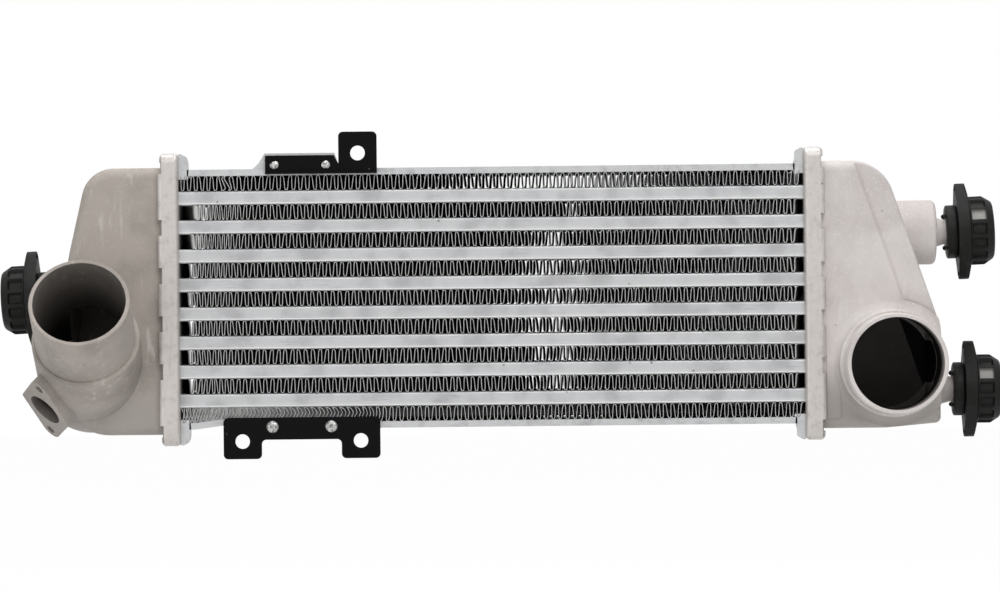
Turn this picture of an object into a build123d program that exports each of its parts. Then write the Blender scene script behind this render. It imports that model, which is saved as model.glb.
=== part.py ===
from build123d import *
import math
import os

# Air-to-air intercooler of a small diesel car: a brazed core of flat tubes and
# folded fins between two header plates, a cast tank crimped on at each end,
# three rubber mounts on cast pins, and two riveted sheet brackets.
# Sizes are in millimetres. The origin is the centre of the core's front face,
# +X runs to the right tank, +Y back through the fins and +Z up.

# Core
core_length = 310.0
core_depth = 64.0
tube_count = 8
tube_pitch = 14.5
tube_height = 7.0
tube_wall = 0.6
tube_nose_bevel = 0.7
tube_projection = 3.0
braze_gap = 0.05
turbulator_wave = 12.0
turbulator_sheet = 0.6
turbulator_end_gap = 4.0
fin_wave = 7.0
fin_sheet = 0.55
fin_left_gaps = [3.0, 11.0, 9.0, 7.0, 4.5, 4.0, 4.0, 4.0, 3.0]
fin_right_gap = 4.0

# Side plates, folded channels above and below the outer fin rows. The lower one is
# pressed into the fins behind its bracket.
plate_sheet = 1.5
plate_flange = 3.25
plate_end_gap = 3.0
joggle_depth = 1.8
joggle_left = -135.0
joggle_right = -71.0
joggle_ramp = 14.0

# Header plates
header_sheet = 1.5
header_overhang = 5.0
header_end_margin = 8.2
header_wall_height = 9.4
header_corner_radius = 5.0
header_bend_radius = 2.8
header_relief = 5.0
gasket_height = 3.5
gasket_width = 3.0
gasket_gap = 0.1

# Crimped tabs of the header
tab_sheet = 1.6
tab_reach = 4.1
tab_bend_radius = 2.2
notch_height = 7.8
notch_pitch = 24.0
tab_run = 126.0
end_tab_width = 46.0

# Cast tanks
foot_height = 5.0
foot_gap = 0.1
tank_wall = 2.8
tank_face_step = 4.5
tank_top_step = 7.0
tank_bottom_step = 5.6
tank_edge_radius = 5.0

# Left tank outline, outwards from the core's end
left_top_reach = 47.0
left_top_radius = 16.0
left_knee_reach = 57.6
left_knee_z = 20.0
left_knee_radius = 90.0
left_bottom_reach = 65.0
left_bottom_radius = 26.0

# Right tank outline, outwards from the core's end
right_top_reach = 40.8
right_top_radius = 22.0
right_knee_z = -16.0
right_knee_radius = 20.0
right_bottom_reach = 69.0
right_bottom_rise = 2.4
right_bottom_radius = 3.0
right_flat_reach = 41.6
right_slope_rounding = 14.0
pad_width = 6.7
pad_gap = 0.4
pad_height = 32.0
pad_rise = 0.6

# Hose spigots
hose_radius = 25.0
hose_bore_radius = 23.0
shoulder_radius = 26.9
rim_chamfer = 0.5
shoulder_chamfer = 1.0
left_spigot_reach = 47.0
left_spigot_setback = 18.3
left_spigot_lift = 1.1
left_spigot_tilt = 32.0
left_spigot_length = 73.2
left_hose_length = 34.0
right_spigot_reach = 45.0
right_spigot_z = -35.1
right_spigot_setback = 18.5
right_spigot_length = 52.0
right_hose_length = 24.0
root_radius = 5.0

# Sensor boss on the left tank's lower corner
sensor_offset = Vector(-22.2, -18.0, -14.7)
sensor_normal = Vector(-0.625, -0.41, -0.665)
sensor_screw_line = Vector(0.103, 0.854, -0.508)
sensor_depth = 27.0
sensor_bore_radius = 9.25
sensor_half_length = 30.0
sensor_half_width = 15.5
sensor_end_radius = 5.5
sensor_side_radius = 2.5
sensor_screw_spacing = 36.8
sensor_screw_radius = 2.3
sensor_screw_depth = 12.0

# Cast mount pins, at the middle of the core's depth
pin_radius = 6.0
pin_root_radius = 7.5
pin_end_gap = 3.0
pin_z = {"left": 1.5, "upper_right": 30.3, "lower_right": -49.1}
bush_face_reach = {"left": 69.5, "upper_right": 74.8, "lower_right": 77.5}
pin_boss_radius = 16.25
pin_boss_reach = 69.3
pin_boss_root = 48.0
pin_boss_edge = 2.5

# Rubber mount bushes
bush_gap = 0.2
bush_base_radius = 13.5
bush_base_length = 5.5
bush_ear_thickness = 6.0
bush_ear_span = 48.5
bush_ear_radius = 5.5
bush_waist_radius = 17.5
bush_drum_radius = 17.3
bush_drum_length = 12.3
bush_drum_chamfer = 3.0
bush_drum_taper = 5.0
bush_pocket_count = 8
bush_pocket_width = 8.0
bush_pocket_depth = 1.8
bush_pocket_length = 5.5
bush_nub = 1.5
bush_nub_inset = 0.8

# Sheet brackets, riveted to tabs that stand on the side plates' front flanges
bracket_sheet = 2.0
bracket_corner = 2.3
upper_tab_left = -116.0
upper_tab_right = -78.0
upper_tab_rise = 7.8
upper_tab_ramp = 3.0
upper_bracket_left = -112.7
upper_bracket_bottom = -2.6
upper_bracket_rise = 6.6
upper_slope_left = -78.4
upper_slope_foot = 2.4
ear_left = -76.0
ear_right = -56.8
ear_rise = 18.2
ear_hole_radius = 3.7
ear_hole_rise = 7.5
upper_rivet_x = [-108.0, -82.3]
upper_rivet_rise = 1.7
lip_depth = 1.6
lower_bracket_left = -134.8
lower_bracket_right = -56.4
lower_bracket_overlap = 5.7
lower_web_drop = 5.4
lower_leg_drop = 15.0
lower_notch_left = -115.7
lower_notch_right = -75.7
lower_hole_radius = 3.65
lower_hole_drop = 6.2
lower_hole_x = [-125.3, -66.1]
lower_rivet_x = [-110.2, -80.8]
lower_rivet_overlap = 1.0
lower_tab_margin = 2.0
rivet_shank_radius = 1.6
rivet_hole_gap = 0.1
rivet_tail_radius = 2.0
rivet_head_radius = 3.1
rivet_head_height = 1.3
mandrel_radius = 0.9

# Places that follow from the sizes above
core_end = core_length / 2
fin_height = tube_pitch - tube_height
core_half_height = (tube_count * tube_pitch + fin_height) / 2
plate_edge = core_half_height + plate_flange
header_half_height = plate_edge + header_end_margin
header_front = -header_overhang
header_back = core_depth + header_overhang
middle_y = core_depth / 2
foot_start = header_sheet + gasket_height
foot_end = foot_start + foot_height
tank_front = header_front + tank_face_step
tank_back = header_back - tank_face_step
tank_top = header_half_height - tank_top_step
tank_bottom = tank_bottom_step - header_half_height


def ring_block(start, length, inset, corner):
    """Block on the right end's axis, set in from the header's outline and rounded along X."""
    depth = header_back - header_front - 2 * inset
    height = 2 * (header_half_height - inset)
    section = Plane(origin=(core_end + start, middle_y, 0), x_dir=(0, 1, 0), z_dir=(1, 0, 0))
    return extrude(section * RectangleRounded(depth, height, corner), length)


def wave_strip(length, wave, height, sheet, depth, floor=None):
    """Folded sheet: a zigzag along X, height tall, carried depth along +Y."""
    folds = max(2, 2 * round(length / wave))
    stations = [i * length / folds for i in range(folds + 1)]
    valleys = [sheet - height / 2 + (floor(x) if floor else 0) for x in stations]
    top = [(x, height / 2 if i % 2 else valleys[i]) for i, x in enumerate(stations)]
    under = [(x, z - sheet) for x, z in reversed(top)]
    return extrude(Plane.XZ * make_face(Polyline(*top, *under, close=True)), -depth)


def tube_section(clearance):
    """Flat tube's outline across its run, grown by a clearance."""
    section = Plane(origin=(0, middle_y, 0), x_dir=(0, 1, 0), z_dir=(1, 0, 0))
    width = core_depth + 2 * clearance
    outline = Rectangle(width, tube_height + 2 * clearance)
    return section * chamfer(outline.vertices(), tube_nose_bevel)


def tube_levels():
    first = -tube_pitch * (tube_count - 1) / 2
    return [first + i * tube_pitch for i in range(tube_count)]


def charge_tube():
    """Flat tube open at both ends, squared at the nose as an extruded one is."""
    reach = core_end + header_sheet + tube_projection
    outer = extrude(Pos(-reach, 0, 0) * tube_section(0), 2 * reach)
    bore = extrude(Pos(-reach - 1, 0, 0) * tube_section(-tube_wall), 2 * reach + 2)
    return outer - bore


def turbulator():
    """Corrugated sheet inside a tube: folds across the depth, run along X."""
    inner_height = tube_height - 2 * tube_wall
    inner_depth = core_depth - 2 * (tube_wall + tube_nose_bevel)
    run = 2 * (core_end + header_sheet + tube_projection - turbulator_end_gap)
    strip = wave_strip(inner_depth, turbulator_wave, inner_height, turbulator_sheet, run)
    return Pos(run / 2, middle_y - inner_depth / 2, 0) * Rot(0, 0, 90) * strip


def plate_lift(x):
    """How far the lower side plate is pressed into its fins at x."""
    into = min(x - joggle_left, joggle_right - x) / joggle_ramp + 1
    return joggle_depth * min(max(into, 0), 1)


def fin_row(left_gap, floor=None):
    """Folded fin between two tubes, its crests on their flats."""
    run = core_length - left_gap - fin_right_gap
    start = left_gap - core_end
    strip = wave_strip(run, fin_wave, fin_height, fin_sheet, core_depth, floor and (lambda x: floor(start + x)))
    return Pos(start, 0, 0) * strip


def side_plate(lift, tab_outline, rivet_spots):
    """Channel with its flanges turned outwards, and the bracket's tab on its front flange."""
    half = core_end - plate_end_gap
    bends = [-half, joggle_left - joggle_ramp, joggle_left, joggle_right, joggle_right + joggle_ramp, half]
    line = [(x, core_half_height - lift(x)) for x in bends]
    edge = [(x, z + plate_flange) for x, z in reversed(line)]
    floor = [(x, z + plate_sheet) for x, z in line]
    above = [(half, header_half_height), (-half, header_half_height)]
    plate = front_sheet([*line, *edge], 0, core_depth)
    plate -= front_sheet([*floor, *above], plate_sheet, core_depth - 2 * plate_sheet)
    plate += front_sheet(tab_outline, 0, plate_sheet)
    for x, z in rivet_spots:
        plate -= front_hole(x, z, rivet_shank_radius + rivet_hole_gap, 0, plate_sheet)
    return plate


def front_sheet(outline, start_y, thickness):
    """Sheet facing the front, from an outline of X and Z."""
    face = make_face(Polyline(*outline, close=True))
    return extrude(Plane.XZ.offset(-start_y) * face, -thickness)


def rounded_sheet(outline, radii, start_y, thickness):
    face = make_face(FilletPolyline(*outline, radius=radii, close=True))
    return extrude(Plane.XZ.offset(-start_y) * face, -thickness)


def front_hole(x, z, radius, start_y, depth):
    place = Plane(origin=(x, start_y - 1, z), z_dir=(0, 1, 0))
    return extrude(place * Circle(radius), depth + 2)


def header_plate():
    """Right header: a drawn tray with tube slots, corner reliefs and crimped tabs."""
    tray = ring_block(0, header_wall_height, 0, header_corner_radius)
    tray = fillet(tray.faces().sort_by(Axis.X)[0].outer_wire().edges(), header_bend_radius)
    hollow_corner = header_corner_radius - header_sheet
    tray -= ring_block(header_sheet, header_wall_height, header_sheet, hollow_corner)
    slot = extrude(Pos(core_end - 1, 0, 0) * tube_section(braze_gap), header_sheet + 2)
    tray -= [Pos(0, 0, z) * slot for z in tube_levels()]
    for y in (header_front, header_back):
        for z in (-header_half_height, header_half_height):
            tray -= Pos(core_end, y, z) * Rot(45, 0, 0) * Box(2 * header_bend_radius, header_relief, header_relief)
    return tray + side_tabs() + end_tabs()


def tab_profile(wall_outside):
    """Tab section in X and depth: up from the wall, round a bend and over the tank's foot."""
    low = core_end + foot_start
    seat = core_end + foot_end
    crown = seat + tab_sheet
    side = wall_outside
    bend = (crown - tab_bend_radius, side + tab_bend_radius)
    rise = Line((low, side), (crown - tab_bend_radius, side))
    turn = CenterArc(bend, tab_bend_radius, -90, 90)
    back = Polyline(
        (crown, side + tab_bend_radius), (crown, side + tab_reach), (seat, side + tab_reach),
        (seat, side + header_sheet), (low, side + header_sheet), (low, side),
    )
    return make_face([rise, turn, back])


def side_tabs():
    """Tabs along the front and back walls, parted by four notches."""
    notches = [(i - 1.5) * notch_pitch for i in range(4)]
    strip = extrude(Pos(0, 0, -tab_run / 2) * tab_profile(header_front), tab_run)
    for z in notches:
        strip -= Pos(core_end + foot_end, header_front, z) * Box(4 * foot_height, 4 * tab_reach, notch_height)
    return [strip, mirror(strip, Plane.XZ.offset(-middle_y))]


def end_tabs():
    """One tab across the top wall and one across the bottom wall."""
    profile = tab_profile(-header_half_height)
    tab = Rot(90, 0, 0) * extrude(profile, end_tab_width)
    lower = Pos(0, middle_y + end_tab_width / 2, 0) * tab
    return [lower, mirror(lower, Plane.XY)]


def tank_gasket():
    """Rubber ring squeezed between the header's trough and the tank's foot."""
    inset = header_sheet + gasket_gap
    corner = header_corner_radius - inset
    ring = ring_block(header_sheet, gasket_height, inset, corner)
    opening = ring_block(header_sheet - 1, gasket_height + 2, inset + gasket_width, max(corner - gasket_width, 0.5))
    return ring - opening


def tank_foot():
    inset = header_sheet + foot_gap
    return ring_block(foot_start, foot_height, inset, header_corner_radius - inset)


def outline_solid(face, front, back):
    return extrude(Plane.XZ.offset(-front) * face, -(back - front))


def left_outline(root):
    """Left tank seen from the front: steep top corner, leaning wall, wide bottom corner."""
    points = [
        (root, tank_top), (-core_end - left_top_reach, tank_top), (-core_end - left_knee_reach, left_knee_z),
        (-core_end - left_bottom_reach, tank_bottom), (root, tank_bottom),
    ]
    radii = [0, left_top_radius, left_knee_radius, left_bottom_radius, 0]
    return make_face(FilletPolyline(*points, radius=radii, close=True))


def right_outline(root):
    """Right tank seen from the front: its wall slopes out to a square bottom corner."""
    points = [
        (root, tank_top), (core_end + right_top_reach, tank_top), (core_end + right_bottom_reach, right_knee_z),
        (core_end + right_bottom_reach, tank_bottom + right_bottom_rise),
        (core_end + right_flat_reach, tank_bottom), (root, tank_bottom),
    ]
    radii = [0, right_top_radius, right_knee_radius, right_bottom_radius, 0, 0]
    return make_face(FilletPolyline(*points, radius=radii, close=True))


def soften(body, root):
    """Rounds a tank's front and back edges, all but the straight ones at its foot."""
    faces = [body.faces().sort_by(Axis.Y)[0], body.faces().sort_by(Axis.Y)[-1]]
    edges = [e for f in faces for e in f.edges() if abs(e.center().X - root) > 0.01]
    return fillet(edges, tank_edge_radius)


def slope_rounding(radius, inset):
    """What a large rounding along the right tank's sloping wall takes off its two long edges."""
    top = Vector(core_end + right_top_reach, 0, tank_top)
    knee = Vector(core_end + right_bottom_reach, 0, right_knee_z)
    along = (knee - top).normalized()
    outward = Vector(-along.Z, 0, along.X)
    waste = Pos(radius / 2 - 1, radius / 2 - 1) * Rectangle(radius + 2, radius + 2)
    waste -= Pos(radius, radius) * Circle(radius)
    start = top - along * 30 - outward * inset + Vector(0, tank_front + inset, 0)
    front = Plane(origin=start, x_dir=-outward, z_dir=-along)
    cut = extrude(front * waste, -((knee - top).length + 110))
    return [cut, mirror(cut, Plane.XZ.offset(-(tank_front + tank_back) / 2))]


def spigot_solids(centre, tilt, length, hose_length):
    """Outer form of a hose spigot: domed root, shouldered body and plain hose end."""
    axis = Plane(origin=centre, x_dir=(1, 0, 0), z_dir=spigot_axis(tilt))
    body_length = length - hose_length
    body = Cylinder(shoulder_radius, body_length, align=(Align.CENTER, Align.CENTER, Align.MIN))
    body = chamfer(body.edges().sort_by(Axis.Z)[-1], shoulder_chamfer)
    hose = Cylinder(hose_radius, length, align=(Align.CENTER, Align.CENTER, Align.MIN))
    hose = chamfer(hose.edges().sort_by(Axis.Z)[-1], rim_chamfer)
    return axis * (body + hose + Sphere(shoulder_radius))


def spigot_bore(centre, tilt, length):
    axis = Plane(origin=centre, x_dir=(1, 0, 0), z_dir=spigot_axis(tilt))
    bore = Cylinder(hose_bore_radius, length + 1, align=(Align.CENTER, Align.CENTER, Align.MIN))
    return axis * (bore + Sphere(shoulder_radius - tank_wall))


def spigot_axis(tilt):
    """Direction out of the spigot: forwards, raised by tilt degrees."""
    angle = math.radians(tilt)
    return (0, -math.cos(angle), math.sin(angle))


def mount_pin(side, root_reach):
    """Pin along +X from inside the wall: a tapered neck, then the shank that the bush slips on."""
    face = bush_face_reach[side]
    bush_length = bush_base_length + bush_ear_thickness + bush_drum_length
    tip = face + bush_length - pin_end_gap
    profile = Polyline(
        (root_reach, 0), (root_reach, pin_root_radius), (face - 6, pin_root_radius), (face, pin_radius),
        (tip - 1, pin_radius), (tip, pin_radius - 1), (tip, 0), close=True,
    )
    pin = revolve(make_face(profile), Axis.X)
    return Pos(core_end, middle_y, pin_z[side]) * pin


def pin_boss():
    """Round boss that carries the upper right pin out from the sloping wall."""
    boss = Cylinder(pin_boss_radius, pin_boss_reach - pin_boss_root, align=(Align.CENTER, Align.CENTER, Align.MIN))
    boss = fillet(boss.edges().sort_by(Axis.Z)[-1], pin_boss_edge)
    return Pos(core_end + pin_boss_root, middle_y, pin_z["upper_right"]) * Rot(0, 90, 0) * boss


def left_spigot_centre():
    z = tank_bottom + shoulder_radius + left_spigot_lift
    return Vector(-core_end - left_spigot_reach, tank_front + left_spigot_setback, z)


def right_spigot_centre():
    return Vector(core_end + right_spigot_reach, tank_front + right_spigot_setback, right_spigot_z)


def sensor_plane():
    """Plane of the sensor's seat, square to its bore, X along the line of its two screws."""
    normal = sensor_normal.normalized()
    line = sensor_screw_line - normal * sensor_screw_line.dot(normal)
    return Plane(origin=left_spigot_centre() + sensor_offset, x_dir=line, z_dir=normal)


def sensor_boss():
    """Lozenge-shaped prism that carries the temperature sensor."""
    corners = [(sensor_half_length, 0), (0, sensor_half_width), (-sensor_half_length, 0), (0, -sensor_half_width)]
    radii = [sensor_end_radius, sensor_side_radius, sensor_end_radius, sensor_side_radius]
    lozenge = make_face(FilletPolyline(*corners, radius=radii, close=True))
    return extrude(sensor_plane() * lozenge, -sensor_depth)


def sensor_cuts():
    plane = sensor_plane()
    bore = extrude(plane * Circle(sensor_bore_radius), -sensor_depth, both=True)
    half = sensor_screw_spacing / 2
    screws = [plane * Pos(x, 0) * Circle(sensor_screw_radius) for x in (-half, half)]
    return [bore] + [extrude(s, -sensor_screw_depth) for s in screws]


def left_tank():
    """Left casting: inlet spigot raised towards the front, sensor boss and one mount pin."""
    root = -core_end - foot_start
    body = soften(outline_solid(left_outline(root), tank_front, tank_back), root)
    inner_face = offset(left_outline(root + tank_wall + 1), -tank_wall)
    cavity = outline_solid(inner_face, tank_front + tank_wall, tank_back - tank_wall)
    pin = mirror(mount_pin("left", left_knee_reach - tank_wall), Plane.YZ)
    centre = left_spigot_centre()
    casting = body + mirror(tank_foot(), Plane.YZ) + pin + sensor_boss()
    casting += spigot_solids(centre, left_spigot_tilt, left_spigot_length, left_hose_length)
    casting -= cavity
    casting -= spigot_bore(centre, left_spigot_tilt, left_spigot_length)
    for cut in sensor_cuts():
        casting -= cut
    return casting


def right_root_fillet():
    """Concave ring where the right spigot grows out of the tank's face."""
    centre = right_spigot_centre()
    top = tank_front - root_radius
    low = tank_front + 1
    outer = shoulder_radius + root_radius
    ring = make_face([
        Line((shoulder_radius - 1, low), (outer, low)),
        Line((outer, low), (outer, tank_front)),
        CenterArc((outer, top), root_radius, 90, 90),
        Polyline((shoulder_radius, top), (shoulder_radius - 1, top), (shoulder_radius - 1, low)),
    ])
    skirt = Pos(centre.X, 0, centre.Z) * revolve(ring, Axis.Y)
    return skirt & outline_solid(right_outline(core_end + foot_start), top - 1, low + 1)


def right_tank():
    """Right casting: straight outlet spigot, sloping wall, a boss and two mount pins."""
    root = core_end + foot_start
    body = soften(outline_solid(right_outline(root), tank_front, tank_back), root)
    for cut in slope_rounding(right_slope_rounding, 0):
        body -= cut
    inner_face = offset(right_outline(root - tank_wall - 1), -tank_wall)
    cavity = outline_solid(inner_face, tank_front + tank_wall, tank_back - tank_wall)
    for cut in slope_rounding(right_slope_rounding - tank_wall, tank_wall):
        cavity -= cut
    centre = right_spigot_centre()
    casting = body + tank_foot() + pin_boss() + mount_pin("upper_right", pin_boss_root)
    casting += mount_pin("lower_right", right_bottom_reach - tank_wall)
    pad_z = tank_bottom + tank_edge_radius
    pad = Box(pad_width, pad_rise + 1, pad_height, align=(Align.MIN, Align.MIN, Align.MIN))
    casting += Pos(core_end + foot_end + tab_sheet + pad_gap, tank_front - pad_rise, pad_z) * pad
    casting += spigot_solids(centre, 0, right_spigot_length, right_hose_length)
    casting += right_root_fillet()
    casting -= cavity
    return casting - spigot_bore(centre, 0, right_spigot_length)


def mount_bush(side):
    """Ribbed rubber bush: round base, eared flange and a pocketed drum with a tapered end."""
    ear_start = bush_base_length
    drum_start = ear_start + bush_ear_thickness
    drum_end = drum_start + bush_drum_length
    base = Cylinder(bush_base_radius, bush_base_length + 1, align=(Align.CENTER, Align.CENTER, Align.MIN))
    ear_z = bush_ear_span / 2 - bush_ear_radius
    rounds = [Circle(bush_waist_radius).edge()]
    rounds += [(Pos(x, 0) * Circle(bush_ear_radius)).edge() for x in (-ear_z, ear_z)]
    flange = make_hull(rounds)
    drum = revolve(Plane.XZ * make_face(Polyline(
        (0, drum_start - 1), (bush_drum_radius, drum_start - 1), (bush_drum_radius, drum_end - bush_drum_taper),
        (bush_drum_radius - bush_drum_chamfer, drum_end), (0, drum_end), close=True,
    )), Axis.Z)
    bush = base + extrude(Pos(0, 0, ear_start) * flange, bush_ear_thickness) + drum
    for x in (-1, 1):
        bush += Pos(x * (bush_base_radius - bush_nub - bush_nub_inset), 0, 0) * Cylinder(bush_nub, 2 * bush_nub)
    pocket = Box(2 * bush_pocket_depth, bush_pocket_width, bush_pocket_length, align=(Align.CENTER, Align.CENTER, Align.MIN))
    for spot in PolarLocations(bush_drum_radius, bush_pocket_count):
        bush -= Pos(0, 0, drum_start + 0.8) * spot * pocket
    bore = Cylinder(pin_radius + bush_gap, drum_end + 4, align=(Align.CENTER, Align.CENTER, Align.MIN))
    bush -= Pos(0, 0, -2) * bore
    turned = Rot(0, 90, 0) * bush
    return Pos(core_end + bush_face_reach[side], middle_y, pin_z[side]) * turned


def upper_side_plate():
    rise = plate_edge + upper_tab_rise
    low = plate_edge - plate_flange + plate_sheet
    outline = [
        (upper_tab_left - upper_tab_ramp, low), (upper_tab_left - upper_tab_ramp, plate_edge),
        (upper_tab_left, plate_edge + upper_tab_ramp), (upper_tab_left + upper_tab_ramp, rise),
        (upper_tab_right, rise), (upper_tab_right + upper_tab_ramp, low),
    ]
    return side_plate(lambda x: 0, outline, upper_rivet_spots())


def lower_side_plate():
    """Same channel turned over, with the lower bracket's tab standing down from it."""
    drop = plate_edge + lower_web_drop - lower_tab_margin
    low = core_half_height - joggle_depth + plate_sheet
    left = lower_rivet_x[0] - 2 * rivet_head_radius
    right = lower_rivet_x[1] + 2 * rivet_head_radius
    outline = [(left, low), (left, drop), (right, drop), (right, low)]
    spots = [(x, -z) for x, z in lower_rivet_spots()]
    return mirror(side_plate(plate_lift, outline, spots), Plane.XY)


def upper_rivet_spots():
    return [(x, plate_edge + upper_rivet_rise) for x in upper_rivet_x]


def lower_rivet_spots():
    return [(x, -plate_edge + lower_rivet_overlap) for x in lower_rivet_x]


def upper_bracket():
    """Flat strip on the side plate's tab, with a lip folded forwards below it and one tall ear."""
    bottom = plate_edge + upper_bracket_bottom
    rise = plate_edge + upper_bracket_rise
    ear_top = plate_edge + ear_rise
    outline = [
        (upper_bracket_left, bottom), (upper_bracket_left, rise), (upper_slope_left, rise),
        (ear_left, plate_edge + upper_slope_foot), (ear_left, ear_top), (ear_right, ear_top), (ear_right, bottom),
    ]
    radii = [0, 0.5, 0.5, 0, bracket_corner, bracket_corner, 0]
    sheet = rounded_sheet(outline, radii, -bracket_sheet, bracket_sheet)
    lip = Pos(upper_bracket_left, -bracket_sheet - lip_depth, bottom) * Box(
        ear_right - upper_bracket_left, lip_depth + 1, bracket_sheet / 2, align=(Align.MIN, Align.MIN, Align.MIN))
    sheet += lip
    sheet -= front_hole((ear_left + ear_right) / 2, plate_edge + ear_hole_rise, ear_hole_radius, -bracket_sheet, bracket_sheet)
    for x, z in upper_rivet_spots():
        sheet -= front_hole(x, z, rivet_shank_radius + rivet_hole_gap, -bracket_sheet, bracket_sheet)
    return sheet


def lower_bracket():
    """Flat plate with a shallow web and two legs, each with a bolt hole."""
    top = -plate_edge + lower_bracket_overlap
    web = -plate_edge - lower_web_drop
    foot = -plate_edge - lower_leg_drop
    outline = [
        (lower_bracket_left, top), (lower_bracket_right, top), (lower_bracket_right, foot), (lower_notch_right, foot),
        (lower_notch_right, web), (lower_notch_left, web), (lower_notch_left, foot), (lower_bracket_left, foot),
    ]
    sheet = rounded_sheet(outline, bracket_corner, -bracket_sheet, bracket_sheet)
    for x in lower_hole_x:
        sheet -= front_hole(x, -plate_edge - lower_hole_drop, lower_hole_radius, -bracket_sheet, bracket_sheet)
    for x, z in lower_rivet_spots():
        sheet -= front_hole(x, z, rivet_shank_radius + rivet_hole_gap, -bracket_sheet, bracket_sheet)
    return sheet


def rivet_profile(front_radius, back_radius, hollow):
    """Half section of a set rivet: radius across and Y along, with a hole left by its mandrel."""
    front = -bracket_sheet
    nose = front - rivet_head_height
    points = [
        (hollow, nose), (front_radius / 2, nose), (front_radius, front), (rivet_shank_radius, front),
        (rivet_shank_radius, plate_sheet), (back_radius, plate_sheet),
        (back_radius / 2, plate_sheet + rivet_head_height), (0, plate_sheet + rivet_head_height),
    ]
    if hollow:
        points += [(0, front), (hollow, front)]
    return make_face(Polyline(*points, close=True))


def rivets(spots, front_radius, back_radius, hollow):
    rivet = revolve(rivet_profile(front_radius, back_radius, hollow), Axis.Y)
    return Compound([Pos(x, 0, z) * rivet for x, z in spots])


def build_nodes():
    nodes = {
        "left_tank": left_tank(),
        "right_tank": right_tank(),
        "right_header_plate": header_plate(),
        "right_tank_gasket": tank_gasket(),
        "upper_side_plate": upper_side_plate(),
        "lower_side_plate": lower_side_plate(),
        "upper_bracket": upper_bracket(),
        "lower_bracket": lower_bracket(),
        "upper_bracket_rivets": rivets(upper_rivet_spots(), rivet_tail_radius, rivet_head_radius, 0),
        "lower_bracket_rivets": rivets(lower_rivet_spots(), rivet_head_radius, rivet_tail_radius, mandrel_radius),
        "left_mount_bush": mirror(mount_bush("left"), Plane.YZ),
        "upper_right_mount_bush": mount_bush("upper_right"),
        "lower_right_mount_bush": mount_bush("lower_right"),
    }
    nodes["left_header_plate"] = mirror(nodes["right_header_plate"], Plane.YZ)
    nodes["left_tank_gasket"] = mirror(nodes["right_tank_gasket"], Plane.YZ)
    tube = charge_tube()
    sheet = turbulator()
    for i, z in enumerate(reversed(tube_levels()), start=1):
        nodes[f"charge_tube_{i}"] = Pos(0, 0, z) * tube
        nodes[f"turbulator_{i}"] = Pos(0, 0, z) * sheet
    for i in range(tube_count + 1):
        gap = fin_left_gaps[min(i, len(fin_left_gaps) - 1)]
        z = (tube_count / 2 - i) * tube_pitch
        floor = plate_lift if i == tube_count else None
        nodes[f"air_fin_{i + 1}"] = Pos(0, 0, z) * fin_row(gap, floor)
    return nodes


def main():
    os.makedirs("parts", exist_ok=True)
    for name, solid in build_nodes().items():
        export_step(solid, f"parts/{name}.step")


if __name__ == "__main__":
    main()
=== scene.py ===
import math
import bmesh
import bpy
import numpy as np
from mathutils import Matrix, Vector


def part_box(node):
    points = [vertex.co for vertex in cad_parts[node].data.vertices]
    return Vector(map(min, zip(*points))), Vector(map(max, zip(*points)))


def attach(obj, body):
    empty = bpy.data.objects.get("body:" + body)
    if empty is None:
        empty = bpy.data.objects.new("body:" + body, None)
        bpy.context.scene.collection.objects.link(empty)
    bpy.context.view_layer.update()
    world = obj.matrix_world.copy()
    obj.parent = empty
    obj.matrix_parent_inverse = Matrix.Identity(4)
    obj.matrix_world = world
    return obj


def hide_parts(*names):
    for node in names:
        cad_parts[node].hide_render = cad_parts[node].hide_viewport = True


# Dressing of an intercooler: real folds for its fin rows, rounded flat tubes, hooked side plates,
# thinned headers, cast and sheet finishes, moulded rubber mounts, bevelled brackets and set rivets.
# Lengths are in metres. X runs along the tubes to the right, Y back through the fins and Z up.

bl_info = {
    "name": "Intercooler dressing",
    "version": (1, 0, 0),
    "blender": (4, 5, 0),
    "location": "3D View > Sidebar > Intercooler",
    "description": "Builds an intercooler's fins, tubes, rubber mounts, brackets and finishes on its frame",
    "category": "Object",
}

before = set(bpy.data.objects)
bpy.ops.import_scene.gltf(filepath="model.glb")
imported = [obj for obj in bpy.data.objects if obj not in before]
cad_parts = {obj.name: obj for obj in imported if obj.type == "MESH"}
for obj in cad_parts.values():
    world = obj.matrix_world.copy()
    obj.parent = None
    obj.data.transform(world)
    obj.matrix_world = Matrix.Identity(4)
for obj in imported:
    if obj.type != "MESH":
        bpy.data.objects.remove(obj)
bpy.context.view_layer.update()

MM = 0.001
SIDES = ("left", "right")
FIN_ROWS = 9
TUBES = 8


def shade(red, green, blue):
    """Linear colour of a surface that a screen shows with these values from 0 to 255."""
    values = np.array([red, green, blue]) / 255
    linear = np.where(values <= 0.04045, values / 12.92, ((values + 0.055) / 1.055) ** 2.4)
    return tuple(float(value) for value in linear)


def colour(name, description, default):
    return bpy.props.FloatVectorProperty(
        name=name, description=description, default=default, subtype="COLOR", size=3, min=0, max=1)


def length(name, description, default):
    return bpy.props.FloatProperty(
        name=name, description=description, default=default, unit="LENGTH", precision=5, min=0)


def share(name, description, default):
    return bpy.props.FloatProperty(
        name=name, description=description, default=default, subtype="FACTOR", min=0, max=1)


def rotation(name, description, degrees):
    return bpy.props.FloatProperty(
        name=name, description=description, default=math.radians(degrees), unit="ROTATION")


def point(name, description, default):
    return bpy.props.FloatVectorProperty(
        name=name, description=description, default=default, subtype="TRANSLATION", size=3)


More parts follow.
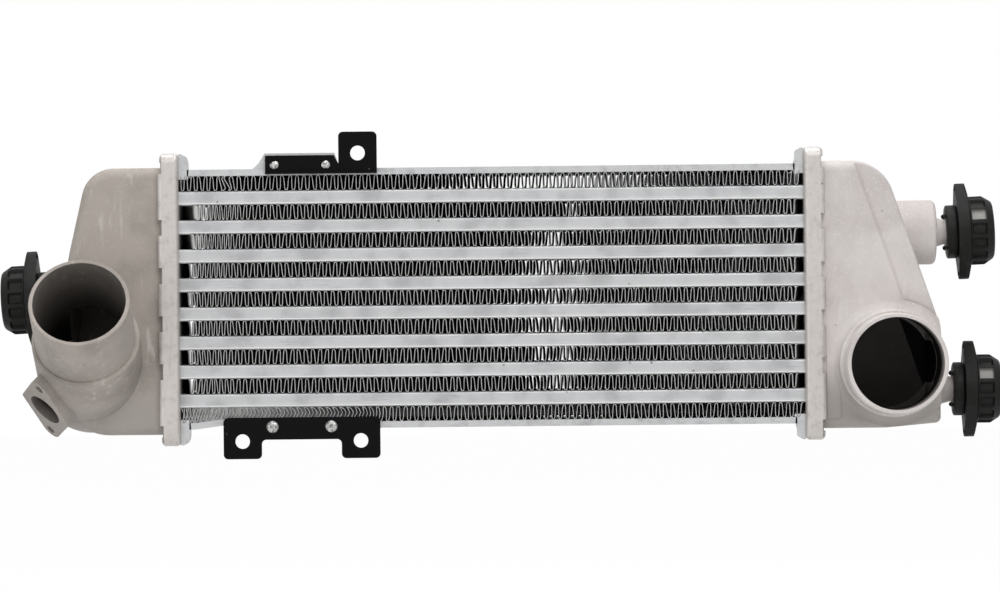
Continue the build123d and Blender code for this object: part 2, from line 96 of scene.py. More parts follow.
class FinSettings(bpy.types.PropertyGroup):
    """Sizes and colours of the folded fin rows."""
    pitch: length("Fold pitch", "Run of one whole wave of a fin row", 3.45 * MM)
    outer_pitch: length("Outer fold pitch", "Run of one wave in the top and bottom rows", 3.6 * MM)
    sheet: length("Sheet", "Thickness of the folded sheet, with its braze", 0.3 * MM)
    wander: length("Wander", "How far a fold drifts along the core's depth", 0.4 * MM)
    lean: length("Lean", "How far a fold's wall may lean either way", 0.35 * MM)
    bow: length("Bow", "How far the folds bow sideways at the middle of the core's depth", 2.1 * MM)
    outer_bow: length("Top row's bow", "The same in the top row, which can be seen through", 0.7 * MM)
    cross: length("Cross", "How far the bottom row's front folds lean against those behind them", 0.9 * MM)
    edge_colour: colour("Cut edge", "Colour of the sheet's cut edge", shade(188, 188, 187))
    # Painted shade: the sheet's colour deep between two tubes, where light does not reach
    painted_shade_colour: colour("Deep colour", "Colour of the sheet deep between two tubes", shade(42, 42, 41))


class TubeSettings(bpy.types.PropertyGroup):
    """Sizes and colours of the flat tubes and side plates."""
    nose_radius: length("Nose radius", "Rounding of the tube's long edges", 1.1 * MM)
    bead: length("Bead", "How far the braze bead stands along the lower edge", 0.18 * MM)
    body_colour: colour("Aluminium", "Colour of the brazed tubes", shade(192, 193, 194))
    # Painted highlight along the bead on the tube's lower edge
    bead_highlight_colour: colour("Bead colour", "Colour of the bright lower edge", shade(236, 237, 236))
    stain_colour: colour("Stain", "Colour of scratches and flux stains", shade(150, 150, 152))


class CastingSettings(bpy.types.PropertyGroup):
    """Colours of the two cast tanks."""
    left_colour: colour("Left casting", "Colour of the left tank", shade(173, 165, 158))
    left_shade: colour("Left casting, dark", "Colour of its darker patches", shade(150, 143, 136))
    right_colour: colour("Right casting", "Colour of the right tank", shade(212, 206, 203))
    right_shade: colour("Right casting, dark", "Colour of its darker patches", shade(196, 189, 186))
    spark_colour: colour("Grain", "Colour of the light grains", shade(228, 224, 220))
    # Painted shade towards the castings' lower edge
    low_shade_colour: colour(
        "Lower casting", "Colour of the castings towards their lower edge", shade(150, 145, 140))
    # Painted shade deep inside the spigots and the sensor's bore
    bore_shade_colour: colour("Bore", "Colour deep inside the spigots and the sensor's bore", shade(22, 20, 18))
    grain_scale: bpy.props.FloatProperty(
        name="Grain scale", description="Grains in a metre of casting", default=900, min=1)


class SheetSettings(bpy.types.PropertyGroup):
    """Colours of the header plates, brackets and rivets."""
    header_colour: colour("Header", "Colour of the crimped header plates", shade(197, 192, 188))
    header_stain: colour("Header stain", "Colour of flux and scratches on them", shade(168, 163, 159))
    bracket_colour: colour("Bracket", "Colour of the painted brackets", shade(14, 14, 15))
    bracket_bevel: length("Bracket bevel", "Width of the brackets' broken edges", 0.25 * MM)
    rivet_colour: colour("Rivet", "Colour of the rivets", shade(196, 196, 194))


class BushSettings(bpy.types.PropertyGroup):
    """Sizes and colours of the rubber mounts."""
    base_radius: length("Base radius", "Radius of the collar on the tank's side", 13.5 * MM)
    drum_radius: length("Drum radius", "Radius of the ribbed drum", 17.3 * MM)
    waist_radius: length("Waist radius", "Radius of the flange between its ears", 17.5 * MM)
    ear_radius: length("Ear radius", "Radius of the flange's ears", 5.5 * MM)
    pocket_depth: length("Pocket depth", "Depth of the drum's windows", 1.6 * MM)
    left_tilt: rotation("Left tilt", "How far the left mount sags on its pin", 2.6)
    upper_right_tilt: rotation(
        "Upper right tilt", "How far the upper right mount sags on its pin", 2.4)
    rubber_colour: colour("Rubber", "Colour of the moulded rubber", shade(28, 28, 27))
    scuff_colour: colour("Scuff", "Colour of its scuffed edges", shade(66, 66, 66))


class StageSettings(bpy.types.PropertyGroup):
    """The camera's place, the floor's height and the soft light."""
    camera_place: point("Camera", "Where the camera stands", (0.0266, -2.2, -0.00425))
    camera_target: point("Target", "The point at the middle of the picture", (0.0041, 0, 0.0005))
    roll: rotation("Roll", "How far the camera leans to the right", 0.6)
    view_width: length("View width", "Width that the picture covers at the core's face", 500 * MM)
    floor_height: bpy.props.FloatProperty(
        name="Floor", description="Height of the floor", default=-0.3, unit="LENGTH")
    ambient: share("Ambient", "Strength of the soft light from all round", 0.38)


class IntercoolerSettings(bpy.types.PropertyGroup):
    """Everything that a user may change."""
    fins: bpy.props.PointerProperty(type=FinSettings)
    tubes: bpy.props.PointerProperty(type=TubeSettings)
    castings: bpy.props.PointerProperty(type=CastingSettings)
    sheets: bpy.props.PointerProperty(type=SheetSettings)
    bushes: bpy.props.PointerProperty(type=BushSettings)
    stage: bpy.props.PointerProperty(type=StageSettings)


# Meshes

def grid_faces(rows, columns, closed_rows=False, closed_columns=False):
    """Quads between neighbouring points of a grid numbered row by row. A closed direction joins
    its last line of points to its first."""
    a, b = np.meshgrid(
        np.arange(rows if closed_rows else rows - 1),
        np.arange(columns if closed_columns else columns - 1), indexing="ij")
    next_a, next_b = (a + 1) % rows, (b + 1) % columns
    corners = [a * columns + b, a * columns + next_b, next_a * columns + next_b, next_a * columns + b]
    return np.stack(corners, -1).reshape(-1, 4)


def enclosed_volume(points, faces):
    """Volume inside a closed surface: a sixth of each face's triple product, summed. It is
    negative where the faces point inwards."""
    a, b, c, d = (points[faces[:, i]] for i in range(4))
    return (np.einsum("ij,ij->i", a, np.cross(b, c)) + np.einsum("ij,ij->i", a, np.cross(c, d))).sum() / 6


def add_piece(name, points, faces, material, replaced, values=None, smooth_angle=40):
    """Puts a closed surface into a piece that rides on the frame. values is one number a point."""
    if enclosed_volume(points, faces) < 0:
        faces = faces[:, ::-1]
    mesh = bpy.data.meshes.new(name)
    mesh.vertices.add(len(points))
    mesh.vertices.foreach_set("co", points.astype(np.float32).ravel())
    mesh.loops.add(faces.size)
    mesh.loops.foreach_set("vertex_index", faces.astype(np.int32).ravel())
    mesh.polygons.add(len(faces))
    mesh.polygons.foreach_set("loop_start", np.arange(0, faces.size, 4, dtype=np.int32))
    mesh.update(calc_edges=True)
    if values is not None:
        tone = mesh.attributes.new("tone", "FLOAT", "POINT")
        tone.data.foreach_set("value", values.astype(np.float32).ravel())
    weld(mesh)
    mesh.polygons.foreach_set("use_smooth", np.ones(len(mesh.polygons), bool))
    mesh.set_sharp_from_angle(angle=math.radians(smooth_angle))
    return seat_piece(name, mesh, material, replaced)


def weld(mesh, distance=0.002 * MM):
    """Joins points that lie together, which closes seams and poles."""
    work = bmesh.new()
    work.from_mesh(mesh)
    bmesh.ops.remove_doubles(work, verts=work.verts, dist=distance)
    work.to_mesh(mesh)
    work.free()


def seat_piece(name, mesh, material, replaced):
    """Makes a mesh a piece of the frame's one body, in the place of the solids that it replaces."""
    piece = bpy.data.objects.new(name, mesh)
    bpy.context.scene.collection.objects.link(piece)
    mesh.materials.clear()
    mesh.materials.append(material)
    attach(piece, "root")
    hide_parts(*replaced)
    return piece


def merged_copy(node, name, material):
    """The frame's own solid with its triangles joined into flat faces, as a new piece."""
    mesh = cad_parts[node].data.copy()
    mesh.name = name
    work = bmesh.new()
    work.from_mesh(mesh)
    bmesh.ops.remove_doubles(work, verts=work.verts, dist=0.001 * MM)
    bmesh.ops.dissolve_limit(work, angle_limit=math.radians(0.5), verts=work.verts, edges=work.edges)
    work.to_mesh(mesh)
    work.free()
    return seat_piece(name, mesh, material, [node])


def bevel(piece, width):
    """Breaks the edges that turn by more than 35 degrees."""
    finish = piece.modifiers.new("broken edges", "BEVEL")
    finish.width = width
    finish.segments = 2
    finish.limit_method = "ANGLE"
    finish.angle_limit = math.radians(35)


def smooth_step(value, low, high):
    """Rises from 0 at low to 1 at high along 3t squared less 2t cubed."""
    t = np.clip((value - low) / (high - low), 0, 1)
    return t * t * (3 - 2 * t)


def rippled(positions, waves, seed):
    """A slow random line through positions: a sum of sines with seeded phases, from -1 to 1."""
    draw = np.random.default_rng(seed)
    phases = draw.uniform(0, 2 * math.pi, waves)
    steps = np.arange(1, waves + 1) * 2 * math.pi / np.ptp(positions)
    return np.sin(np.multiply.outer(positions, steps) + phases).sum(-1) / waves


# Finishes

def add_node(tree, kind, inputs=None, **settings):
    """A node with its settings, whose inputs are values or the sockets that feed them."""
    node = tree.nodes.new(kind)
    for key, value in settings.items():
        setattr(node, key, value)
    for key, value in (inputs or {}).items():
        if isinstance(value, bpy.types.NodeSocket):
            tree.links.new(value, node.inputs[key])
        else:
            node.inputs[key].default_value = value
    return node


def opaque(rgb):
    """A colour as a socket takes it. What comes from a socket stays as it is."""
    return rgb if isinstance(rgb, bpy.types.NodeSocket) else (*rgb, 1.0)


def mixed(tree, factor, first, second):
    """The colour between first and second."""
    inputs = {0: factor, 6: opaque(first), 7: opaque(second)}
    return add_node(tree, "ShaderNodeMix", inputs, data_type="RGBA").outputs[2]


def calculated(tree, operation, first, second, clamp=False):
    """One calculation on two numbers."""
    node = add_node(tree, "ShaderNodeMath", {0: first, 1: second}, operation=operation, use_clamp=clamp)
    return node.outputs[0]


def times(tree, first, second, clamp=False):
    """The product of two numbers."""
    return calculated(tree, "MULTIPLY", first, second, clamp)


def ranged(tree, value, low, high, to_low=0.0, to_high=1.0):
    """Runs smoothly from to_low where value is low to to_high where it is high."""
    inputs = {"Value": value, "From Min": low, "From Max": high, "To Min": to_low, "To Max": to_high}
    return add_node(tree, "ShaderNodeMapRange", inputs, interpolation_type="SMOOTHSTEP").outputs[0]


def noise(tree, place, scale, detail, roughness=0.5):
    """Cloudy noise, mostly between 0.3 and 0.7."""
    inputs = {"Vector": place, "Scale": scale, "Detail": detail, "Roughness": roughness}
    return add_node(tree, "ShaderNodeTexNoise", inputs).outputs["Fac"]


def vector_node(tree, operation, *inputs):
    """Outputs of one calculation on one or two vectors."""
    return add_node(tree, "ShaderNodeVectorMath", dict(enumerate(inputs)), operation=operation).outputs


def new_group(name, inputs, outputs):
    """An empty node group with named sockets, and its input and output nodes' sockets."""
    tree = bpy.data.node_groups.new(name, "ShaderNodeTree")
    for way, sockets in (("INPUT", inputs), ("OUTPUT", outputs)):
        for label, kind in sockets.items():
            tree.interface.new_socket(label, in_out=way, socket_type=f"NodeSocket{kind}")
    return tree, tree.nodes.new("NodeGroupInput").outputs, tree.nodes.new("NodeGroupOutput").inputs


def grain_group():
    """Cast grain: fine light grains over soft darker patches, with their height."""
    tree, given, made = new_group(
        "Cast grain",
        {"Position": "Vector", "Light": "Color", "Dark": "Color", "Grain": "Color",
         "Grain Scale": "Float", "Patch Scale": "Float", "Grain Amount": "Float"},
        {"Color": "Color", "Roughness": "Float", "Height": "Float"})
    patch = noise(tree, given["Position"], given["Patch Scale"], 3.0, 0.55)
    grain = noise(tree, given["Position"], given["Grain Scale"], 2.0, 0.7)
    patchy = mixed(tree, ranged(tree, patch, 0.38, 0.64), given["Light"], given["Dark"])
    grains = times(tree, ranged(tree, grain, 0.52, 0.74), given["Grain Amount"])
    tree.links.new(mixed(tree, grains, patchy, given["Grain"]), made["Color"])
    tree.links.new(ranged(tree, grain, 0.3, 0.7, 0.62, 0.5), made["Roughness"])
    tree.links.new(grain, made["Height"])
    return tree


def scratch_group():
    """Drawn marks: streaks along one axis, kept where a broad noise allows them."""
    tree, given, made = new_group(
        "Drawn marks", {"Position": "Vector", "Stretch": "Vector", "Amount": "Float"}, {"Mask": "Float"})
    drawn = vector_node(tree, "MULTIPLY", given["Position"], given["Stretch"])
    streak = noise(tree, drawn["Vector"], 1.0, 3.0)
    kept = ranged(tree, noise(tree, given["Position"], 28.0, 2.0), 0.42, 0.62)
    lines = times(tree, ranged(tree, streak, 0.55, 0.72), kept)
    tree.links.new(times(tree, lines, given["Amount"], clamp=True), made["Mask"])
    return tree


def speck_group():
    """Sparse round specks: the middle of a few cells of a cell pattern."""
    tree, given, made = new_group(
        "Specks", {"Position": "Vector", "Scale": "Float", "Share": "Float", "Size": "Float"},
        {"Mask": "Float"})
    cells = add_node(tree, "ShaderNodeTexVoronoi", {"Vector": given["Position"], "Scale": given["Scale"]})
    parts = add_node(tree, "ShaderNodeSeparateColor", {0: cells.outputs["Color"]})
    chosen = calculated(tree, "LESS_THAN", parts.outputs[0], given["Share"])
    near = calculated(tree, "LESS_THAN", cells.outputs["Distance"], given["Size"])
    tree.links.new(times(tree, chosen, near), made["Mask"])
    return tree


BORE_RIM = 0.3 * MM
INNER_BACK, INNER_FLOOR = 63.1 * MM, -62 * MM


def bore_shade_group():
    """Mask of painted shade inside a bore, nearer to its axis than Radius: Least at the mouth, rising to 1
    at Run, and Beyond on the tank's inner walls, which lie deeper than Reach."""
    tree, given, made = new_group(
        "Throat",
        {"Position": "Vector", "Mouth": "Vector", "Axis": "Vector", "Radius": "Float",
         "Run": "Float", "Reach": "Float", "Least": "Float", "Beyond": "Float"},
        {"Mask": "Float"})
    away = vector_node(tree, "SUBTRACT", given["Position"], given["Mouth"])["Vector"]
    beside = vector_node(tree, "CROSS_PRODUCT", away, given["Axis"])["Vector"]
    radial = vector_node(tree, "LENGTH", beside)["Value"]
    behind = times(tree, vector_node(tree, "DOT_PRODUCT", away, given["Axis"])["Value"], -1.0)
    inside = calculated(tree, "LESS_THAN", radial, given["Radius"])
    past_rim = calculated(tree, "GREATER_THAN", behind, BORE_RIM)
    reached = calculated(tree, "LESS_THAN", behind, given["Reach"])
    ramp = add_node(tree, "ShaderNodeMapRange", {
        "Value": behind, "From Min": 0.0, "From Max": given["Run"],
        "To Min": given["Least"], "To Max": 1.0})
    apart = add_node(tree, "ShaderNodeSeparateXYZ", {0: given["Position"]}).outputs
    in_tank = times(tree, calculated(tree, "LESS_THAN", apart["Y"], INNER_BACK),
                    calculated(tree, "GREATER_THAN", apart["Z"], INNER_FLOOR))
    deeper = times(tree, in_tank, calculated(tree, "SUBTRACT", 1.0, reached))
    walls = times(tree, deeper, given["Beyond"])
    shaded = calculated(tree, "ADD", times(tree, reached, ramp.outputs[0]), walls)
    tree.links.new(times(tree, times(tree, inside, past_rim), shaded), made["Mask"])
    return tree


GROUP_MAKERS = {
    "Cast grain": grain_group, "Drawn marks": scratch_group, "Specks": speck_group, "Throat": bore_shade_group}


def use_group(tree, name, inputs):
    """Places a shared group, building it the first time that it is asked for."""
    group = bpy.data.node_groups.get(name) or GROUP_MAKERS[name]()
    return add_node(tree, "ShaderNodeGroup", inputs, node_tree=group).outputs


def marks_on(tree, place, stretch, amount):
    """Mask of drawn marks, finest along the axis that is stretched most."""
    return use_group(tree, "Drawn marks", {"Position": place, "Stretch": stretch, "Amount": amount})["Mask"]


def specks_on(tree, place, scale, chosen, size, strength):
    """Mask of specks in the chosen share of the cells, at a strength."""
    specks = use_group(tree, "Specks", {"Position": place, "Scale": scale, "Share": chosen, "Size": size})
    return times(tree, specks["Mask"], strength)


def tone_of(tree):
    """The number that each point of the piece carries."""
    return add_node(tree, "ShaderNodeAttribute", attribute_name="tone").outputs["Fac"]


def stained(tree, cloudy, marks, body, stain):
    """A body colour clouded with its stain, and drawn over with marks of it."""
    return mixed(tree, marks, mixed(tree, cloudy, body, stain), stain)


def new_finish(name, metallic, specular):
    """A material with its tree, its shader and the place on the piece that patterns read."""
    material = bpy.data.materials.new(name)
    material.use_nodes = True
    tree = material.node_tree
    shader = tree.nodes["Principled BSDF"]
    shader.inputs["Metallic"].default_value = metallic
    shader.inputs["Specular IOR Level"].default_value = specular
    place = add_node(tree, "ShaderNodeTexCoord").outputs["Object"]
    return material, tree, shader, place


def feed(tree, shader, rgb, roughness, height=None, bump=0.0, depth=0.0):
    """Links what varies over the surface to the shader."""
    tree.links.new(rgb, shader.inputs["Base Color"])
    if isinstance(roughness, bpy.types.NodeSocket):
        tree.links.new(roughness, shader.inputs["Roughness"])
    else:
        shader.inputs["Roughness"].default_value = roughness
    if height is not None:
        raised = add_node(tree, "ShaderNodeBump", {"Height": height, "Strength": bump, "Distance": depth})
        tree.links.new(raised.outputs[0], shader.inputs["Normal"])


# Each casting's bores, by the middle of the mouth and the direction out of it, and how the painted shade
# inside them runs
BORES = {
    "left": [
        {"Mouth": (-0.202, -0.0443, -0.0008), "Axis": (0, -0.848, 0.53), "Radius": 23.7 * MM,
         "Run": 52 * MM, "Reach": 88 * MM, "Least": 0.45, "Beyond": 0.75},
        {"Mouth": (-0.2242, -0.0002, -0.0543), "Axis": (-0.62457, -0.40972, -0.66454), "Radius": 9.6 * MM,
         "Run": 6 * MM, "Reach": 14 * MM, "Least": 0.3, "Beyond": 0.0}],
    "right": [
        {"Mouth": (0.2, -0.034, -0.0351), "Axis": (0, -1, 0), "Radius": 23.7 * MM,
         "Run": 22 * MM, "Reach": 94 * MM, "Least": 0.15, "Beyond": 0.6}]}
GRAIN_AMOUNTS = {"left": 0.14, "right": 0.5}
# Painted shade darkens the castings down through these heights, from these depths back, so not on the
# spigots
LOW_SHADE_HEIGHTS, LOW_SHADE_DEPTHS = (-28 * MM, -60 * MM), (-12 * MM, -4 * MM)
LOW_SHADE_AMOUNTS = {"left": 0.6, "right": 0.75}


def casting_finish(side):
    """Sand-cast aluminium: grain, patches, drawn marks and pits, with painted shade towards the lower edge
    and inside the bores.
    """
    sizes = bpy.context.scene.intercooler.castings
    material, tree, shader, place = new_finish(f"{side} casting", 0.0, 0.12)
    grain = use_group(tree, "Cast grain", {
        "Position": place, "Light": opaque(getattr(sizes, f"{side}_colour")),
        "Dark": opaque(getattr(sizes, f"{side}_shade")), "Grain": opaque(sizes.spark_colour),
        "Grain Scale": sizes.grain_scale, "Patch Scale": 24.0, "Grain Amount": GRAIN_AMOUNTS[side]})
    marks = marks_on(tree, place, (300.0, 300.0, 60.0), 0.3)
    marked = mixed(tree, marks, grain["Color"], sizes.spark_colour)
    pitted = mixed(tree, specks_on(tree, place, 210.0, 0.05, 0.13, 0.4), marked, shade(96, 92, 88))
    apart = add_node(tree, "ShaderNodeSeparateXYZ", {0: place}).outputs
    # Painted shade towards the lower edge
    low = times(tree, ranged(tree, apart["Z"], *LOW_SHADE_HEIGHTS), ranged(tree, apart["Y"], *LOW_SHADE_DEPTHS))
    shown = mixed(tree, times(tree, low, LOW_SHADE_AMOUNTS[side]), pitted, sizes.low_shade_colour)
    for bore in BORES[side]:
        # Painted shade inside each bore
        bore_shade = use_group(tree, "Throat", {"Position": place, **bore})
        shown = mixed(tree, bore_shade["Mask"], shown, sizes.bore_shade_colour)
    feed(tree, shader, shown, grain["Roughness"], grain["Height"], 0.35, 0.12 * MM)
    return material


def header_finish():
    """Brazed sheet: satin aluminium with flux stains, vertical draw marks and dark specks."""
    sizes = bpy.context.scene.intercooler.sheets
    material, tree, shader, place = new_finish("header sheet", 0.35, 0.5)
    stains = noise(tree, place, 190.0, 5.0, 0.7)
    marks = marks_on(tree, place, (1500.0, 1500.0, 90.0), 0.7)
    marked = stained(tree, ranged(tree, stains, 0.45, 0.8), marks, sizes.header_colour, sizes.header_stain)
    specked = mixed(tree, specks_on(tree, place, 260.0, 0.09, 0.16, 0.7), marked, shade(70, 68, 66))
    feed(tree, shader, specked, ranged(tree, stains, 0.3, 0.7, 0.36, 0.55), stains, 0.25, 0.15 * MM)
    return material


def tube_finish():
    """Drawn aluminium tube: streaks along its run, specks, a painted highlight along the braze bead on its
    lower edge and a painted shadow of the fins' crests along its upper edge.
    """
    sizes = bpy.context.scene.intercooler.tubes
    material, tree, shader, place = new_finish("brazed tube", 0.3, 0.5)
    tone = tone_of(tree)
    marks = marks_on(tree, place, (90.0, 1500.0, 2600.0), 0.6)
    clouds = noise(tree, place, 60.0, 3.0)
    cloudy = ranged(tree, clouds, 0.4, 0.7, 0.0, 0.6)
    marked = stained(tree, cloudy, marks, sizes.body_colour, sizes.stain_colour)
    specked = mixed(tree, specks_on(tree, place, 190.0, 0.1, 0.15, 0.65), marked, shade(90, 90, 92))
    # Painted highlight along the bead on the lower edge
    bead_highlighted = mixed(tree, ranged(tree, tone, -0.62, -0.78), specked, sizes.bead_highlight_colour)
    # Painted shadow of the fins' crests along the upper edge
    crest_shadowed = mixed(tree, ranged(tree, tone, 0.82, 1.0, 0.0, 0.45), bead_highlighted, shade(110, 110, 110))
    feed(tree, shader, crest_shadowed, ranged(tree, clouds, 0.3, 0.7, 0.38, 0.52), marks, 0.2, 0.08 * MM)
    return material


def plate_finish():
    """The tubes' aluminium on the folded side plates."""
    sizes = bpy.context.scene.intercooler.tubes
    material, tree, shader, place = new_finish("side plate", 0.3, 0.5)
    clouds = noise(tree, place, 120.0, 5.0, 0.65)
    marks = marks_on(tree, place, (110.0, 1500.0, 2200.0), 0.7)
    marked = stained(tree, ranged(tree, clouds, 0.45, 0.8), marks, sizes.body_colour, sizes.stain_colour)
    feed(tree, shader, marked, ranged(tree, clouds, 0.3, 0.7, 0.4, 0.55), clouds, 0.2, 0.12 * MM)
    return material


def fin_finish():
    """Thin folded sheet in its own colour at the cut front and back edges, with painted shade deep between
    the tubes, and painted light from behind lifting it towards the back, on the end flaps and on the
    crumpled fold.
    """
    sizes = bpy.context.scene.intercooler.fins
    material, tree, shader, place = new_finish("folded fin", 0.25, 0.4)
    blotch = ranged(tree, noise(tree, place, 260.0, 2.0), 0.3, 0.7, 0.72, 1.15)
    dimmed = times(tree, tone_of(tree), blotch, clamp=True)
    # The tone mixes from painted shade up to the sheet's own colour, as painted light
    feed(tree, shader, mixed(tree, dimmed, sizes.painted_shade_colour, sizes.edge_colour), 0.5)
    return material


def turbulator_finish():
    """Dull blotched aluminium for the strips inside the tubes."""
    material, tree, shader, place = new_finish("turbulator", 0.4, 0.5)
    blotch = noise(tree, place, 150.0, 3.0)
    feed(tree, shader, mixed(tree, blotch, shade(120, 120, 120), shade(165, 165, 164)), 0.45)
    return material


def rubber_finish(name):
    """Moulded rubber: dark, faintly grained, greyed in scuffs and dust, with a painted highlight on one
    window of a mount's drum.
    """
    sizes = bpy.context.scene.intercooler.bushes
    material, tree, shader, place = new_finish(name, 0.0, 0.12)
    grain = noise(tree, place, 1300.0, 2.0)
    cloud = noise(tree, place, 130.0, 4.0, 0.7)
    marks = marks_on(tree, place, (260.0, 900.0, 900.0), 0.5)
    dust_and_highlight = ranged(tree, cloud, 0.5, 0.85, 0.0, 0.5)
    scuffed = stained(tree, dust_and_highlight, marks, sizes.rubber_colour, sizes.scuff_colour)
    # Painted highlight on the lit window that the tone marks
    window_highlighted = mixed(tree, times(tree, tone_of(tree), 0.8), scuffed, shade(170, 168, 164))
    feed(tree, shader, window_highlighted, ranged(tree, cloud, 0.3, 0.7, 0.42, 0.62), grain, 0.3, 0.08 * MM)
    return material


def paint_finish():
    """Satin black paint with dust specks."""
    sizes = bpy.context.scene.intercooler.sheets
    material, tree, shader, place = new_finish("black paint", 0.0, 0.05)
    cloud = noise(tree, place, 300.0, 4.0)
    dust = specks_on(tree, place, 330.0, 0.07, 0.15, 0.4)
    worn = mixed(tree, dust, sizes.bracket_colour, shade(120, 120, 120))
    feed(tree, shader, worn, ranged(tree, cloud, 0.3, 0.7, 0.4, 0.55), cloud, 0.12, 0.1 * MM)
    return material


def rivet_finish():
    """Bright aluminium, dented where it was set."""
    sizes = bpy.context.scene.intercooler.sheets
    material, tree, shader, place = new_finish("rivet aluminium", 0.7, 0.5)
    dents = noise(tree, place, 900.0, 2.0)
    rgb = mixed(tree, ranged(tree, dents, 0.35, 0.7), sizes.rivet_colour, shade(104, 104, 102))
    feed(tree, shader, rgb, 0.3, dents, 0.3, 0.2 * MM)
    return material


def paint_node(node, material):
    """Gives a solid of the frame its finish through its object's material slot."""
    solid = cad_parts[node]
    if not solid.material_slots:
        solid.data.materials.append(None)
    solid.material_slots[0].link = "OBJECT"
    solid.material_slots[0].material = material


# Fin rows

SAMPLES_PER_WAVE = 12
STEEPNESS, ROUNDNESS = 0.34, 1.3
PLACE_SPREAD = 0.035
EDGE_DEPTH = 0.7 * MM
HEADER_FACE = 156.3 * MM
# From the header to each row's ends, and how much tighter its waves are at the left, top row first
LEFT_GAPS = tuple(gap * MM for gap in (0.6, 9.0, 7.2, 5.5, 4.5, 5.1, 4.4, 4.9, 0.8))
RIGHT_GAP, OUTER_RIGHT_GAP = 4.0 * MM, 1.6 * MM
PACKED_SHARES = (0.1, 0.4, 0.38, 0.32, 0.25, 0.25, 0.25, 0.25, 0.15)
PACKED_RUN = 20 * MM
# Where the bow is less, so that light comes through a row: the middle and the width of that stretch
CLEAR_ROWS = {2: (40 * MM, 8 * MM), 3: (31 * MM, 14 * MM)}
CLEAR_ROW, CLEAR_SHARE = (29 * MM, 20 * MM), 0.43
TOP_WANDER = 0.25
# The end flaps' run and spare drift, the painted light on their lit side, and the rows that get that
# painted light
FLAP_RUN, FLAP_SPARE, FLAP_LIGHT, FLAP_ROWS = 5 * MM, 1.5, 0.5, (2, 3)
# The bottom row's raised stretch over the side plate, the lean of its folds there, and its crossing
CRUSH_LEFT, CRUSH_RIGHT, CRUSH_RAMP, CRUSH_RISE = -135 * MM, -71 * MM, 14 * MM, 1.8 * MM
BEND, BEND_IN, BEND_OUT = 1.9 * MM, 8 * MM, 24 * MM
CROSS_END, CROSS_FADE = -130 * MM, 20 * MM
CROSS_DEPTHS = (1.5 * MM, 16 * MM)
# The top row's crumpled fold, with a painted highlight on it
CRUMPLE, CRUMPLE_AT, CRUMPLE_WIDTH, CRUMPLE_HIGHLIGHT = 1.5 * MM, -132.5 * MM, 2.6 * MM, 0.84
# Painted light and shade of the sheet from the front edge to the back, by the share of the core's depth:
# full at the cut edges, painted shade deep inside, and painted light from behind towards the back
PAINTED_LIGHT_PLACES = (0.0, 0.01, 0.2, 0.45, 0.7, 0.98, 1.0)
PAINTED_LIGHT_TONES = (1.0, 0.0, 0.0, 0.14, 0.32, 0.35, 1.0)


def plate_lift(x):
    """How far the lower side plate stands into the bottom row at x."""
    into = np.minimum(x - CRUSH_LEFT, CRUSH_RIGHT - x) / CRUSH_RAMP + 1
    return CRUSH_RISE * np.clip(into, 0, 1)


def wave_places(start, end, pitch, packed_share, draw):
    """Where each wave of a row begins: the running sum of one over the local pitch, scaled to a
    whole number of waves. The pitch is tighter over PACKED_RUN at the left end, and each place
    differs a little from that."""
    x = np.linspace(start, end, 4000)
    packed = 1 - smooth_step(x - start, 0.7 * PACKED_RUN, 1.5 * PACKED_RUN)
    local = pitch * (1 - packed_share * packed)
    turns = np.concatenate([[0], np.cumsum((x[1] - x[0]) / local[:-1])])
    count = int(round(turns[-1]))
    places = np.interp(np.arange(count + 1), turns * count / turns[-1], x)
    places[1:-1] += draw.normal(0, PLACE_SPREAD * pitch, count - 1)
    return places


